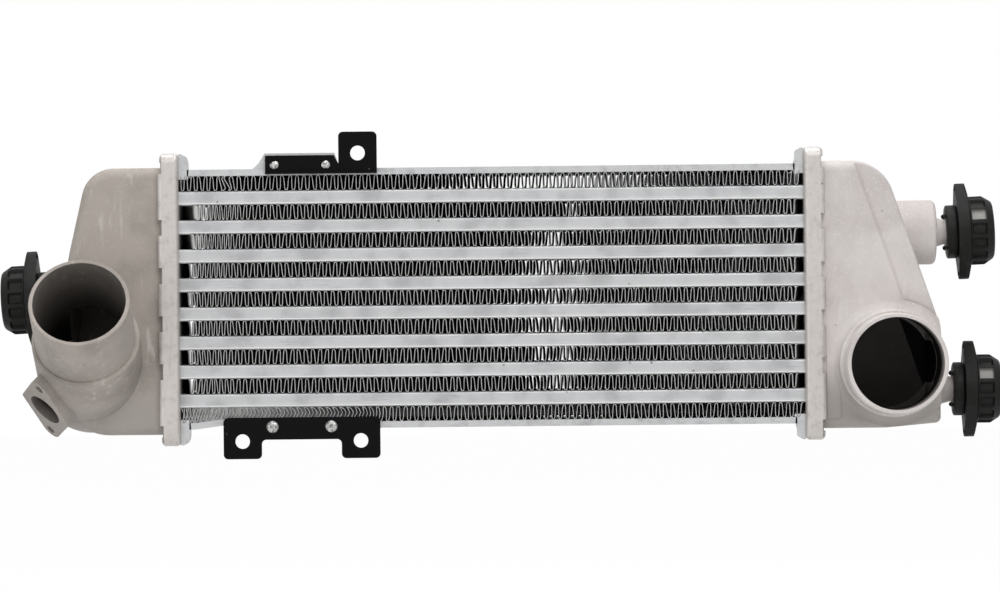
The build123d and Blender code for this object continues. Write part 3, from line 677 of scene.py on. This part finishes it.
def fin_row(number, material):
    """One folded sheet. Along a wave t turns by a full circle: the way from the wave's start to
    the next goes as t + STEEPNESS sin 2t, and the height as tanh(ROUNDNESS cos t), so that the
    walls stand steeply and the crests are round. Each wall leans by its own draw. The bottom row
    is lifted and bent by the side plate, and crossed by a second sheet at its left end. In the top
    row one fold is crumpled by a turn of a sine."""
    sizes = bpy.context.scene.intercooler.fins
    draw = np.random.default_rng(40 + number)
    low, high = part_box(f"air_fin_{number}")
    outer = number in (1, FIN_ROWS)
    start = LEFT_GAPS[number - 1] - HEADER_FACE
    end = HEADER_FACE - (OUTER_RIGHT_GAP if outer else RIGHT_GAP)
    pitch = sizes.outer_pitch if outer else sizes.pitch
    starts = wave_places(start, end, pitch, PACKED_SHARES[number - 1], draw)
    waves = len(starts) - 1
    t = np.linspace(0, waves, waves * SAMPLES_PER_WAVE + 1)
    turn = 2 * math.pi * t
    x = np.interp(t + STEEPNESS * np.sin(2 * turn) / (2 * math.pi), np.arange(waves + 1), starts)
    up = np.tanh(ROUNDNESS * np.cos(turn)) / math.tanh(ROUNDNESS)
    leans = np.interp(t, np.arange(waves + 1), draw.uniform(-1, 1, waves + 1))
    line_x = x + leans * sizes.lean * up
    half = (high.z - low.z - sizes.sheet) / 2
    middle = (high.z + low.z) / 2
    line_z = middle + half * up
    highlight_lift = np.zeros_like(t)
    if number == FIN_ROWS:
        line_z = line_z + plate_lift(x) * (1 - up) / 2
        bent = smooth_step(x, CRUSH_LEFT - BEND_IN, CRUSH_LEFT)
        bent = bent * (1 - smooth_step(x, CRUSH_RIGHT, CRUSH_RIGHT + BEND_OUT))
        line_x = line_x + BEND * bent * (1 - up * up)
        crossed = sizes.cross * (1 - smooth_step(x, CROSS_END, CROSS_END + CROSS_FADE)) * up
        behind = x < CROSS_END
        line_x, behind_x = line_x + crossed, (x - crossed)[behind]
    if number == 1:
        crumpled = np.exp(-((x - CRUMPLE_AT) / CRUMPLE_WIDTH) ** 2)
        line_x = line_x + CRUMPLE * crumpled * np.sin(2 * math.pi * up)
        # Painted highlight on the crumpled fold
        highlight_lift = CRUMPLE_HIGHLIGHT * crumpled
    sheets = [fin_sheet(number, t, line_x, line_z, highlight_lift, low.y, high.y, draw)]
    if number == FIN_ROWS:
        depths = (low.y + CROSS_DEPTHS[0], low.y + CROSS_DEPTHS[1])
        sheets.append(
            fin_sheet(number, t[behind], behind_x, line_z[behind], highlight_lift[behind], *depths, draw))
    points, faces = joined([sheet[:2] for sheet in sheets])
    points[:, 2] = np.clip(points[:, 2], low.z, high.z)
    tone = np.concatenate([sheet[2].ravel() for sheet in sheets])
    return add_piece(f"folded_fin_{number}", points, faces, material,
                     [f"air_fin_{number}"], tone, smooth_angle=60)


def fin_sheet(number, t, line_x, line_z, highlight_lift, front, back, draw):
    """Carries the fold line back through the core and gives it the sheet's thickness along its
    normal, the gradient turned by a quarter. On the way back the sheet bows and wanders as 4s less
    4s squared, s being the share of the depth, and its end flaps drift towards the headers."""
    sizes = bpy.context.scene.intercooler.fins
    run = back - front
    edge = EDGE_DEPTH / run
    back_share = np.array([0, edge, 0.055, 0.08, 0.2, 0.36, 0.5, 0.66, 0.83, 1 - edge, 1])
    depths = front + back_share * run
    slope_x, slope_z = np.gradient(line_x), np.gradient(line_z)
    size = np.hypot(slope_x, slope_z)
    normal_x, normal_z = -slope_z / size, slope_x / size
    waves = int(t[-1]) + 1
    wander = np.interp(t, np.arange(waves), draw.uniform(-1, 1, waves)) * sizes.wander
    if number == 1:
        sideways = sizes.outer_bow + wander * TOP_WANDER
    else:
        clear_at, clear_width = CLEAR_ROWS.get(number, CLEAR_ROW)
        clear = CLEAR_SHARE * np.exp(-((line_x - clear_at) / clear_width) ** 2)
        sideways = sizes.bow * (1 - clear) + wander
    drift = np.multiply.outer(sideways, 4 * back_share * (1 - back_share))
    left_flap = -FLAP_SPARE * (line_x[0] + HEADER_FACE) * np.exp(-(line_x - line_x[0]) / FLAP_RUN)
    right_flap = (HEADER_FACE - line_x[-1]) * np.exp((line_x - line_x[-1]) / FLAP_RUN)
    drift = drift + np.multiply.outer(left_flap + right_flap, smooth_step(back_share, -0.2, 0.6))
    drift[:, 0] = 0
    half = sizes.sheet / 2
    along_x = np.hstack([line_x[:, None] + drift, line_x[:, None] + drift[:, ::-1]])
    out = np.repeat([half, -half], len(depths))
    ring_x = along_x + np.multiply.outer(normal_x, out)
    ring_z = line_z[:, None] + np.multiply.outer(normal_z, out)
    ring_y = np.broadcast_to(np.concatenate([depths, depths[::-1]]), ring_x.shape)
    points = np.stack([np.clip(ring_x, -HEADER_FACE, HEADER_FACE), ring_y, ring_z], -1).reshape(-1, 3)
    rows, columns = ring_x.shape
    faces = [grid_faces(rows, columns, closed_columns=True)]
    across = np.arange(len(depths) - 1)
    cap = np.stack([across, across + 1, columns - 2 - across, columns - 1 - across], -1)
    faces += [cap[:, ::-1], cap + (rows - 1) * columns]
    # Painted light and shade over the depth, plus the painted highlight on a crumpled fold
    tone = np.interp(back_share, PAINTED_LIGHT_PLACES, PAINTED_LIGHT_TONES) + highlight_lift[:, None]
    # Painted light on the lit side of the end flaps, fading towards the back
    if number in FLAP_ROWS:
        flap = (np.arange(rows) < SAMPLES_PER_WAVE // 2) * FLAP_LIGHT
        tone = tone + np.multiply.outer(flap, 1 - smooth_step(back_share, 0.3, 0.6))
    return points, np.vstack(faces), np.hstack([tone, tone[:, ::-1]])


class INTERCOOLER_OT_air_fins(bpy.types.Operator):
    """Folds the nine rows of fins between the tubes"""
    bl_idname = "intercooler.air_fins"
    bl_label = "Air fins"

    def execute(self, context):
        material = fin_finish()
        for number in range(1, FIN_ROWS + 1):
            fin_row(number, material)
        return {"FINISHED"}


# Tubes

TUBE_STATIONS = 90
TUBE_WALL, TUBE_DENT = 0.6 * MM, 0.09 * MM
NOSE_POINTS, FACE_POINTS = 6, 9
BEAD_AT, BEAD_WIDTH = -0.72, 0.16


def nose_profile(depth, height, radius, bead):
    """Ring round a flat tube, in depth and height about its middle, with its height as a tone from
    -1 to 1. The front and back faces are flat between quarter rounds, and a bead bulges there."""
    quarter = np.linspace(0, math.pi / 2, NOSE_POINTS)
    sine, cosine = radius * np.sin(quarter), radius * np.cos(quarter)
    across, up = depth / 2 - radius, height / 2 - radius
    face_z = np.linspace(-1, 1, FACE_POINTS)[1:-1] * up
    face_y = np.full(face_z.size, depth / 2)
    y = np.concatenate([-face_y, -across - cosine, across + sine, face_y, across + cosine, -across - sine])
    z = np.concatenate([face_z, up + sine, up + cosine, -face_z, -up - sine, -up - cosine])
    tone = 2 * z / height
    bulge = bead * np.exp(-((tone - BEAD_AT) / BEAD_WIDTH) ** 2) * (np.abs(y) > across)
    return y - bulge * (y < 0), z, tone


def flat_tube(number, material):
    """Tube with its wall: the outer ring carried along X, then the inner ring carried back. Dents,
    a sum of slow sines, let the front face in."""
    sizes = bpy.context.scene.intercooler.tubes
    low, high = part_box(f"charge_tube_{number}")
    depth, height = high.y - low.y - sizes.bead, high.z - low.z
    outer = nose_profile(depth, height, sizes.nose_radius, sizes.bead)
    inner = nose_profile(
        depth - 2 * TUBE_WALL, height - 2 * TUBE_WALL, sizes.nose_radius - TUBE_WALL / 2, 0)
    x = np.linspace(low.x, high.x, TUBE_STATIONS)
    dent = TUBE_DENT * (rippled(x, 23, 60 + number) + 0.6 * rippled(x, 9, 80 + number))
    middle = Vector((0, (low.y + sizes.bead + high.y) / 2, (low.z + high.z) / 2))

    def carried(profile, stations, dents):
        y, z, tone = profile
        reach = np.clip(-y / depth * 2, 0, 1) ** 8
        points = np.empty((len(stations), len(y), 3))
        points[..., 0] = stations[:, None]
        points[..., 1] = middle.y + y + np.maximum(dents, 0)[:, None] * reach
        points[..., 2] = middle.z + z
        return points, np.broadcast_to(tone, points.shape[:2])

    skin, skin_tone = carried(outer, x, dent)
    bore, bore_tone = carried(inner, x[::-1], np.zeros_like(x))
    points = np.concatenate([skin, bore])
    tones = np.concatenate([skin_tone, np.zeros_like(bore_tone)])
    faces = grid_faces(points.shape[0], points.shape[1], closed_rows=True, closed_columns=True)
    add_piece(f"flat_tube_{number}", points.reshape(-1, 3), faces, material,
              [f"charge_tube_{number}"], tones.ravel(), smooth_angle=50)


# The flange drawn up beside a header: its inner edge, its run back, and its outer edge by height
HOOK_INNER, HOOK_DEPTH = 156.2 * MM, 3.0 * MM
HOOK_HEIGHTS = np.array([60.2, 64.7, 67.7, 70.7, 71.3, 71.8, 72.3, 72.9]) * MM
HOOK_OUTER = np.array([151.4, 151.1, 151.9, 151.9, 152.3, 152.9, 153.8, 154.9]) * MM


def plate_hook(side, which, material):
    """A side plate's front flange where it is drawn up beside the header: four corners at each
    height, from the header's face to the outline there, carried up and closed by end quads."""
    low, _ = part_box(f"{which}_side_plate")
    across, up = (-1 if side == "left" else 1), (1 if which == "upper" else -1)
    points = np.empty((len(HOOK_HEIGHTS), 4, 3))
    points[:, [0, 3], 0] = across * HOOK_INNER
    points[:, [1, 2], 0] = across * HOOK_OUTER[:, None]
    points[:, :2, 1] = low.y
    points[:, 2:, 1] = low.y + HOOK_DEPTH
    points[..., 2] = up * HOOK_HEIGHTS[:, None]
    first = np.array([[0, 1, 2, 3]])
    last = first + 4 * (len(HOOK_HEIGHTS) - 1)
    faces = np.vstack([grid_faces(len(HOOK_HEIGHTS), 4, closed_columns=True), first[:, ::-1], last])
    add_piece(f"{side}_{which}_plate_hook", points.reshape(-1, 3), faces, material, [])


class INTERCOOLER_OT_tubes(bpy.types.Operator):
    """Draws the flat tubes with rounded noses, and the side plates' finish and hooked ends"""
    bl_idname = "intercooler.tubes"
    bl_label = "Tubes and side plates"

    def execute(self, context):
        material, inner = tube_finish(), turbulator_finish()
        for number in range(1, TUBES + 1):
            flat_tube(number, material)
            paint_node(f"turbulator_{number}", inner)
        plate = plate_finish()
        for which in ("upper", "lower"):
            paint_node(f"{which}_side_plate", plate)
            for side in SIDES:
                plate_hook(side, which, plate)
        return {"FINISHED"}


# Castings and header plates

CAD_HEADER_FACE, HEADER_FOLD = 155 * MM, 4 * MM


def thin_header(side, material):
    """The header's solid with its core side let back to HEADER_FACE: distances from the middle are
    stretched linearly between there and the end of its fold."""
    piece = merged_copy(f"{side}_header_plate", f"{side}_crimped_header", material)
    mesh = piece.data
    points = np.empty(len(mesh.vertices) * 3, np.float32)
    mesh.vertices.foreach_get("co", points)
    points = points.reshape(-1, 3)
    out = np.abs(points[:, 0])
    fold_end = CAD_HEADER_FACE + HEADER_FOLD
    moved = np.interp(out, (CAD_HEADER_FACE, fold_end), (HEADER_FACE, fold_end))
    points[:, 0] = np.sign(points[:, 0]) * np.where(out < fold_end, moved, out)
    mesh.vertices.foreach_set("co", points.ravel())
    mesh.update()


class INTERCOOLER_OT_tanks(bpy.types.Operator):
    """Finishes the cast tanks, the crimped headers and their gaskets"""
    bl_idname = "intercooler.tanks"
    bl_label = "Tanks and headers"

    def execute(self, context):
        header, rubber = header_finish(), rubber_finish("gasket rubber")
        for side in SIDES:
            paint_node(f"{side}_tank", casting_finish(side))
            thin_header(side, header)
            paint_node(f"{side}_tank_gasket", rubber)
        return {"FINISHED"}


# Brackets and rivets

RIVET_SIDES = 32


def turned(profile_along, profile_radius, centre, squash, seed):
    """Surface of revolution about Y through a centre: a profile of distance along Y and radius,
    whose radius is squashed by two sines round the axis."""
    angle = np.linspace(0, 2 * math.pi, RIVET_SIDES, endpoint=False)
    draw = np.random.default_rng(seed)
    uneven = np.sin(2 * angle + draw.uniform(0, 6)) + 0.6 * np.sin(3 * angle + draw.uniform(0, 6))
    radius = np.multiply.outer(profile_radius, 1 + squash * uneven)
    points = np.empty((*radius.shape, 3))
    points[..., 0] = centre[0] + radius * np.cos(angle)
    points[..., 1] = centre[1] + np.asarray(profile_along)[:, None]
    points[..., 2] = centre[2] + radius * np.sin(angle)
    return points.reshape(-1, 3), grid_faces(len(profile_radius), RIVET_SIDES, closed_columns=True)


def joined(parts):
    """Several surfaces as one list of points and faces."""
    offsets = np.cumsum([0] + [len(points) for points, _ in parts[:-1]])
    return np.vstack([points for points, _ in parts]), np.vstack(
        [faces + offset for (_, faces), offset in zip(parts, offsets)])


RIVET_X = {"upper": (-108.0 * MM, -82.3 * MM), "lower": (-110.2 * MM, -80.8 * MM)}
BRACKET_SHEET = 2 * MM
TAIL_SQUASH = 0.07


def rivet_pair(which, material):
    """Two set rivets. Above, the mushroomed tail shows in front. Below, it is the domed head with
    the hole that its mandrel left."""
    low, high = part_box(f"{which}_bracket_rivets")
    z = (low.z + high.z) / 2
    if which == "upper":
        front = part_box("upper_side_plate")[0].y - BRACKET_SHEET
        front_along = np.array([0.2, -0.1, -0.55, -1.0, -1.25, -1.3]) * MM
        front_radius = np.array([1.6, 2.05, 2.1, 1.75, 1.0, 0.0]) * MM
        squash = TAIL_SQUASH
    else:
        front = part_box("lower_bracket")[0].y
        front_along = np.array([0.2, 0.0, -0.35, -0.8, -1.15, -1.28, -1.2, -0.7, 0.1, 0.1]) * MM
        front_radius = np.array([1.6, 3.1, 3.05, 2.6, 1.9, 1.25, 0.95, 0.85, 0.8, 0.0]) * MM
        squash = 0.0
    back_along = high.y - front - np.array([0.0, 0.0, 0.5, 1.2]) * MM
    back_radius = np.array([0.0, 1.5, 2.9, 1.6]) * MM
    along = np.concatenate([back_along, front_along])
    radius = np.concatenate([back_radius, front_radius])
    parts = [turned(along, radius, (x, front, z), squash, int(1000 + x * 1000)) for x in RIVET_X[which]]
    points, faces = joined(parts)
    add_piece(f"{which}_set_rivets", points, faces, material, [f"{which}_bracket_rivets"])


class INTERCOOLER_OT_brackets(bpy.types.Operator):
    """Breaks the edges of the two painted brackets and sets their rivets"""
    bl_idname = "intercooler.brackets"
    bl_label = "Brackets and rivets"

    def execute(self, context):
        sizes = context.scene.intercooler.sheets
        paint, metal = paint_finish(), rivet_finish()
        for which in ("upper", "lower"):
            piece = merged_copy(f"{which}_bracket", f"{which}_painted_bracket", paint)
            bevel(piece, sizes.bracket_bevel)
            rivet_pair(which, metal)
        return {"FINISHED"}


# Rubber mounts

COLLAR_RUN, FLANGE_THICKNESS, NUB_ROOM = 5.5 * MM, 6 * MM, 1.5 * MM
BUSH_BORE, DRUM_TAPER = 6.2 * MM, 5 * MM
POCKETS, POCKET_SAMPLES = 14, 14
POCKET_WIDTH, POCKET_RUN, POCKET_START = 5.8 * MM, 7.5 * MM, 0.8 * MM
POCKET_EDGE, POCKET_TURN = 0.5 * MM, math.radians(15)
# The window that gets a painted highlight, counted round the drum of these mounts
LIT_POCKET = {"upper": 11, "lower": 11}
FLANGE_SIDES, FLANGE_INNER, EAR_THINNING = 160, 11 * MM, 0.8 * MM
NUB_RADIUS, NUB_HEIGHT, NUB_INSET = 1.3 * MM, 1.2 * MM, 2.3 * MM


def bush_core(sizes, end, lit_pocket):
    """Collar, neck and drum about the X axis: a closed profile turned round, whose drum is let in
    by windows. A window's depth is a soft step across its width times a soft step along it."""
    r, b, drum_start = sizes.drum_radius, sizes.base_radius, COLLAR_RUN + FLANGE_THICKNESS
    collar = np.array([
        (0, BUSH_BORE), (0, b - 2.2 * MM), (0.1 * MM, b - 0.9 * MM), (0.35 * MM, b - 0.25 * MM),
        (0.9 * MM, b), (COLLAR_RUN - 1.2 * MM, b), (COLLAR_RUN - 0.6 * MM, b - 0.2 * MM)])
    neck = np.array([
        (COLLAR_RUN, b - 1.4 * MM), (drum_start - 1 * MM, b - 1.4 * MM),
        (drum_start - 0.6 * MM, r - 1.4 * MM), (drum_start, r - 0.5 * MM), (drum_start + 0.4 * MM, r)])
    side = np.linspace(drum_start + 0.7 * MM, end - 1.0 * MM, 34)
    tapered = np.clip((side - end + DRUM_TAPER) / (DRUM_TAPER - 1.0 * MM), 0, 1)
    drum = np.stack([side, r - 2.5 * MM * tapered], -1)
    cone = np.array([
        (end - 0.5 * MM, r - 3.0 * MM), (end - 0.12 * MM, r - 3.6 * MM), (end, r - 4.6 * MM),
        (end, BUSH_BORE + 1 * MM), (end - 0.5 * MM, BUSH_BORE)])
    x, radius = np.vstack([collar, neck, drum, cone]).T
    angle = np.linspace(0, 2 * math.pi, POCKETS * POCKET_SAMPLES, endpoint=False)
    middle = drum_start + POCKET_START + POCKET_RUN / 2
    sector = 2 * math.pi / POCKETS
    turned_to = angle - POCKET_TURN
    off = np.abs((turned_to + sector / 2) % sector - sector / 2) * r
    across = 1 - smooth_step(off, POCKET_WIDTH / 2 - POCKET_EDGE, POCKET_WIDTH / 2)
    lengthwise = 1 - smooth_step(np.abs(x - middle), POCKET_RUN / 2 - POCKET_EDGE, POCKET_RUN / 2)
    window = np.multiply.outer(lengthwise, across)
    radii = radius[:, None] - sizes.pocket_depth * window
    along = np.broadcast_to(x[:, None], radii.shape)
    grid = np.stack([along, radii * np.sin(angle), radii * np.cos(angle)], -1)
    faces = grid_faces(x.size, angle.size, closed_rows=True, closed_columns=True)
    # Painted highlight on one window of the drum
    dust_and_highlight = window * (np.round(turned_to / sector) % POCKETS == lit_pocket)
    return grid.reshape(-1, 3), faces, dust_and_highlight.ravel()


def bush_flange(sizes, span):
    """Two-eared flange: the reach of the hull of a wide circle and two small ones, the largest of
    the three circles' reaches and their tangent lines, carried over a rounded rim."""
    angle = np.linspace(0, 2 * math.pi, FLANGE_SIDES, endpoint=False)
    ear = span / 2 - sizes.ear_radius
    lean = math.acos((sizes.waist_radius - sizes.ear_radius) / ear)
    support = np.maximum(sizes.waist_radius, sizes.ear_radius + ear * np.abs(np.sin(angle)))
    turn = np.gradient(support, angle)
    turn[0] = turn[-1] = 0
    y = support * np.cos(angle) - turn * np.sin(angle)
    z = support * np.sin(angle) + turn * np.cos(angle)
    outline = np.stack([y, z], -1)
    inner = np.stack([np.cos(angle), np.sin(angle)], -1) * FLANGE_INNER
    groove = smooth_step(np.abs(np.sin(angle)), math.cos(lean) * 0.9, 1.0)
    back = FLANGE_THICKNESS
    rims = [(0, 0.0), (0, 0.72), (1.3 * MM, 0.78), (1.3 * MM, 0.9), (0, 0.94), (0.1 * MM, 0.985),
            (0.4 * MM, 1.0), (back - 0.5 * MM, 1.0), (back - 0.12 * MM, 0.985), (back, 0.95), (back, 0.0)]
    rings = []
    for place, reach in rims:
        ring = inner + (outline - inner) * reach
        x = np.full(angle.size, COLLAR_RUN + place)
        if 0.75 < reach < 0.92:
            x = COLLAR_RUN + place * groove
        if place > back / 2:
            x = x - EAR_THINNING * smooth_step(np.abs(ring[:, 1]), sizes.waist_radius, span / 2)
        rings.append(np.column_stack([x, ring]))
    points = np.vstack(rings)
    return points, grid_faces(len(rims), angle.size, closed_rows=True, closed_columns=True)


def bush_nubs(sizes):
    """Small domes on the collar's face, spaced round it: half turns of a flattened circle."""
    angle = np.linspace(0, 2 * math.pi, 14, endpoint=False)
    dome = np.linspace(0, math.pi, 8)
    ring = NUB_RADIUS * np.sin(dome)
    faces = grid_faces(dome.size, angle.size, closed_columns=True)
    off = sizes.base_radius - NUB_INSET
    parts = []
    for turn in np.radians([45, 135, 225, 315]):
        points = np.empty((dome.size, angle.size, 3))
        points[..., 0] = -NUB_HEIGHT * np.cos(dome)[:, None]
        points[..., 1] = off * math.cos(turn) + np.multiply.outer(ring, np.cos(angle))
        points[..., 2] = off * math.sin(turn) + np.multiply.outer(ring, np.sin(angle))
        parts.append((points.reshape(-1, 3), faces))
    return joined(parts)


def rubber_mount(node, tilt, material):
    """Builds a mount about the X axis, tilts it about its seat and puts it on its pin."""
    sizes = bpy.context.scene.intercooler.bushes
    low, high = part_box(node)
    outward = -1 if node.startswith("left") else 1
    seat = low.x if outward > 0 else high.x
    lit_pocket = LIT_POCKET.get(node.split("_")[0], -1)
    *core, dust_and_highlight = bush_core(sizes, high.x - low.x - NUB_ROOM, lit_pocket)
    points, faces = joined([core, bush_flange(sizes, high.z - low.z), bush_nubs(sizes)])
    # The tone carries the painted highlight of the lit window
    tone = np.concatenate([dust_and_highlight, np.zeros(len(points) - len(dust_and_highlight))])
    points[:, 0] *= outward
    c, s = math.cos(tilt), math.sin(tilt)
    x, z = points[:, 0] * c - points[:, 2] * s, points[:, 0] * s + points[:, 2] * c
    points = np.column_stack([x, points[:, 1], z])
    points += np.array((seat + outward * NUB_ROOM, (low.y + high.y) / 2, (low.z + high.z) / 2))
    add_piece(f"{node}_moulding", points, faces, material, [node], tone)


class INTERCOOLER_OT_mounts(bpy.types.Operator):
    """Moulds the three rubber mounts and slips them on their pins"""
    bl_idname = "intercooler.mounts"
    bl_label = "Rubber mounts"

    def execute(self, context):
        sizes = context.scene.intercooler.bushes
        material = rubber_finish("mount rubber")
        tilts = {"left_mount_bush": sizes.left_tilt, "upper_right_mount_bush": sizes.upper_right_tilt,
                 "lower_right_mount_bush": 0.0}
        for node, tilt in tilts.items():
            rubber_mount(node, tilt, material)
        return {"FINISHED"}


# Stage

# Each lamp's name, place and target, with its width and height in metres and its power in watts
LAMPS = (
    ("key lamp", (0.3, -1.5, 1.25), (0, 0, 0), 1.3, 0.9, 17),
    ("fill lamp", (-1.3, -1.5, 0.1), (0, 0, 0), 1.0, 1.0, 4.5),
    ("top lamp", (0, 0.1, 1.4), (0, 0.03, 0), 1.4, 0.6, 14))
SENSOR_WIDTH = 36
WHITE = (1, 1, 1, 1)
FLOOR_REACH, FLOOR_GREY, FLOOR_GLOW, FLOOR_GLOW_SHARE = 8.0, (0.85, 0.85, 0.85, 1), 1.15, 0.8


def add_lamp(name, place, target, width, height, power):
    """An oblong soft lamp that faces its target."""
    lamp = bpy.data.lights.new(name, "AREA")
    lamp.shape = "RECTANGLE"
    lamp.size, lamp.size_y, lamp.energy = width, height, power
    stand = bpy.data.objects.new(name, lamp)
    bpy.context.scene.collection.objects.link(stand)
    stand.location = place
    stand.rotation_euler = (Vector(target) - Vector(place)).to_track_quat("-Z", "Y").to_euler()


def add_camera(sizes):
    """A long lens square to the core's face, leaning a little to the right."""
    camera = bpy.data.cameras.new("camera")
    place, target = Vector(sizes.camera_place), Vector(sizes.camera_target)
    camera.sensor_width = SENSOR_WIDTH
    camera.lens = SENSOR_WIDTH * (target - place).length / sizes.view_width
    stand = bpy.data.objects.new("camera", camera)
    bpy.context.scene.collection.objects.link(stand)
    ahead = (target - place).normalized()
    right = ahead.cross(Vector((0, 0, 1))).normalized()
    up = right.cross(ahead)
    up, right = (up * math.cos(sizes.roll) + right * math.sin(sizes.roll),
                 right * math.cos(sizes.roll) - up * math.sin(sizes.roll))
    stand.matrix_world = Matrix.Translation(place) @ Matrix((right, up, -ahead)).transposed().to_4x4()
    bpy.context.scene.camera = stand


def seen_directly(tree):
    """1 where a ray comes from the camera, a reflection or through glass."""
    rays = add_node(tree, "ShaderNodeLightPath").outputs
    seen = calculated(tree, "MAXIMUM", rays["Is Camera Ray"], rays["Is Glossy Ray"])
    return calculated(tree, "MAXIMUM", seen, rays["Is Transmission Ray"])


def add_world(sizes):
    """Soft light from all round, which the camera sees as plain white."""
    world = bpy.context.scene.world or bpy.data.worlds.new("studio")
    bpy.context.scene.world = world
    world.use_nodes = True
    tree = world.node_tree
    tree.nodes.clear()
    soft = add_node(tree, "ShaderNodeBackground", {"Color": WHITE, "Strength": sizes.ambient}).outputs[0]
    plain = add_node(tree, "ShaderNodeBackground", {"Color": WHITE, "Strength": 1.0}).outputs[0]
    both = add_node(tree, "ShaderNodeMixShader", {0: seen_directly(tree), 1: soft, 2: plain})
    add_node(tree, "ShaderNodeOutputWorld", {0: both.outputs[0]})


def add_floor(sizes):
    """A pale floor that keeps part of the shadow and otherwise shows white to the camera."""
    corners = [(x * FLOOR_REACH, y * FLOOR_REACH, sizes.floor_height)
               for x, y in ((-1, -1), (1, -1), (1, 1), (-1, 1))]
    mesh = bpy.data.meshes.new("floor")
    mesh.from_pydata(corners, [], [(0, 1, 2, 3)])
    floor = bpy.data.objects.new("floor", mesh)
    bpy.context.scene.collection.objects.link(floor)
    material = bpy.data.materials.new("pale floor")
    material.use_nodes = True
    tree = material.node_tree
    tree.nodes.clear()
    matte = add_node(tree, "ShaderNodeBsdfDiffuse", {"Color": FLOOR_GREY}).outputs[0]
    glow = add_node(tree, "ShaderNodeEmission", {"Color": WHITE, "Strength": FLOOR_GLOW}).outputs[0]
    factor = times(tree, seen_directly(tree), FLOOR_GLOW_SHARE)
    both = add_node(tree, "ShaderNodeMixShader", {0: factor, 1: matte, 2: glow})
    add_node(tree, "ShaderNodeOutputMaterial", {0: both.outputs[0]})
    mesh.materials.append(material)


class INTERCOOLER_OT_stage(bpy.types.Operator):
    """Sets the camera, the soft lamps, the white surroundings and the floor"""
    bl_idname = "intercooler.stage"
    bl_label = "Stage"

    def execute(self, context):
        sizes = context.scene.intercooler.stage
        context.scene.view_settings.view_transform = "Standard"
        add_camera(sizes)
        add_world(sizes)
        add_floor(sizes)
        for lamp in LAMPS:
            add_lamp(*lamp)
        return {"FINISHED"}


class INTERCOOLER_PT_panel(bpy.types.Panel):
    """Lists the operators in the order in which they are run"""
    bl_label = "Intercooler"
    bl_idname = "INTERCOOLER_PT_panel"
    bl_space_type = "VIEW_3D"
    bl_region_type = "UI"
    bl_category = "Intercooler"

    def draw(self, context):
        for operator in OPERATORS:
            self.layout.operator(operator.bl_idname)
        settings = context.scene.intercooler
        for group in (settings.fins, settings.tubes, settings.castings, settings.sheets, settings.bushes,
                      settings.stage):
            box = self.layout.box()
            for name in group.__annotations__:
                box.prop(group, name)


SETTINGS = (FinSettings, TubeSettings, CastingSettings, SheetSettings, BushSettings, StageSettings,
            IntercoolerSettings)
OPERATORS = (INTERCOOLER_OT_stage, INTERCOOLER_OT_air_fins, INTERCOOLER_OT_tubes, INTERCOOLER_OT_tanks,
             INTERCOOLER_OT_brackets, INTERCOOLER_OT_mounts)


def register():
    for item in (*SETTINGS, *OPERATORS, INTERCOOLER_PT_panel):
        bpy.utils.register_class(item)
    bpy.types.Scene.intercooler = bpy.props.PointerProperty(type=IntercoolerSettings)


def unregister():
    del bpy.types.Scene.intercooler
    for item in reversed((*SETTINGS, *OPERATORS, INTERCOOLER_PT_panel)):
        bpy.utils.unregister_class(item)


def main():
    register()
    bpy.ops.intercooler.stage()
    bpy.ops.intercooler.air_fins()
    bpy.ops.intercooler.tubes()
    bpy.ops.intercooler.tanks()
    bpy.ops.intercooler.brackets()
    bpy.ops.intercooler.mounts()


if __name__ == "__main__":
    main()
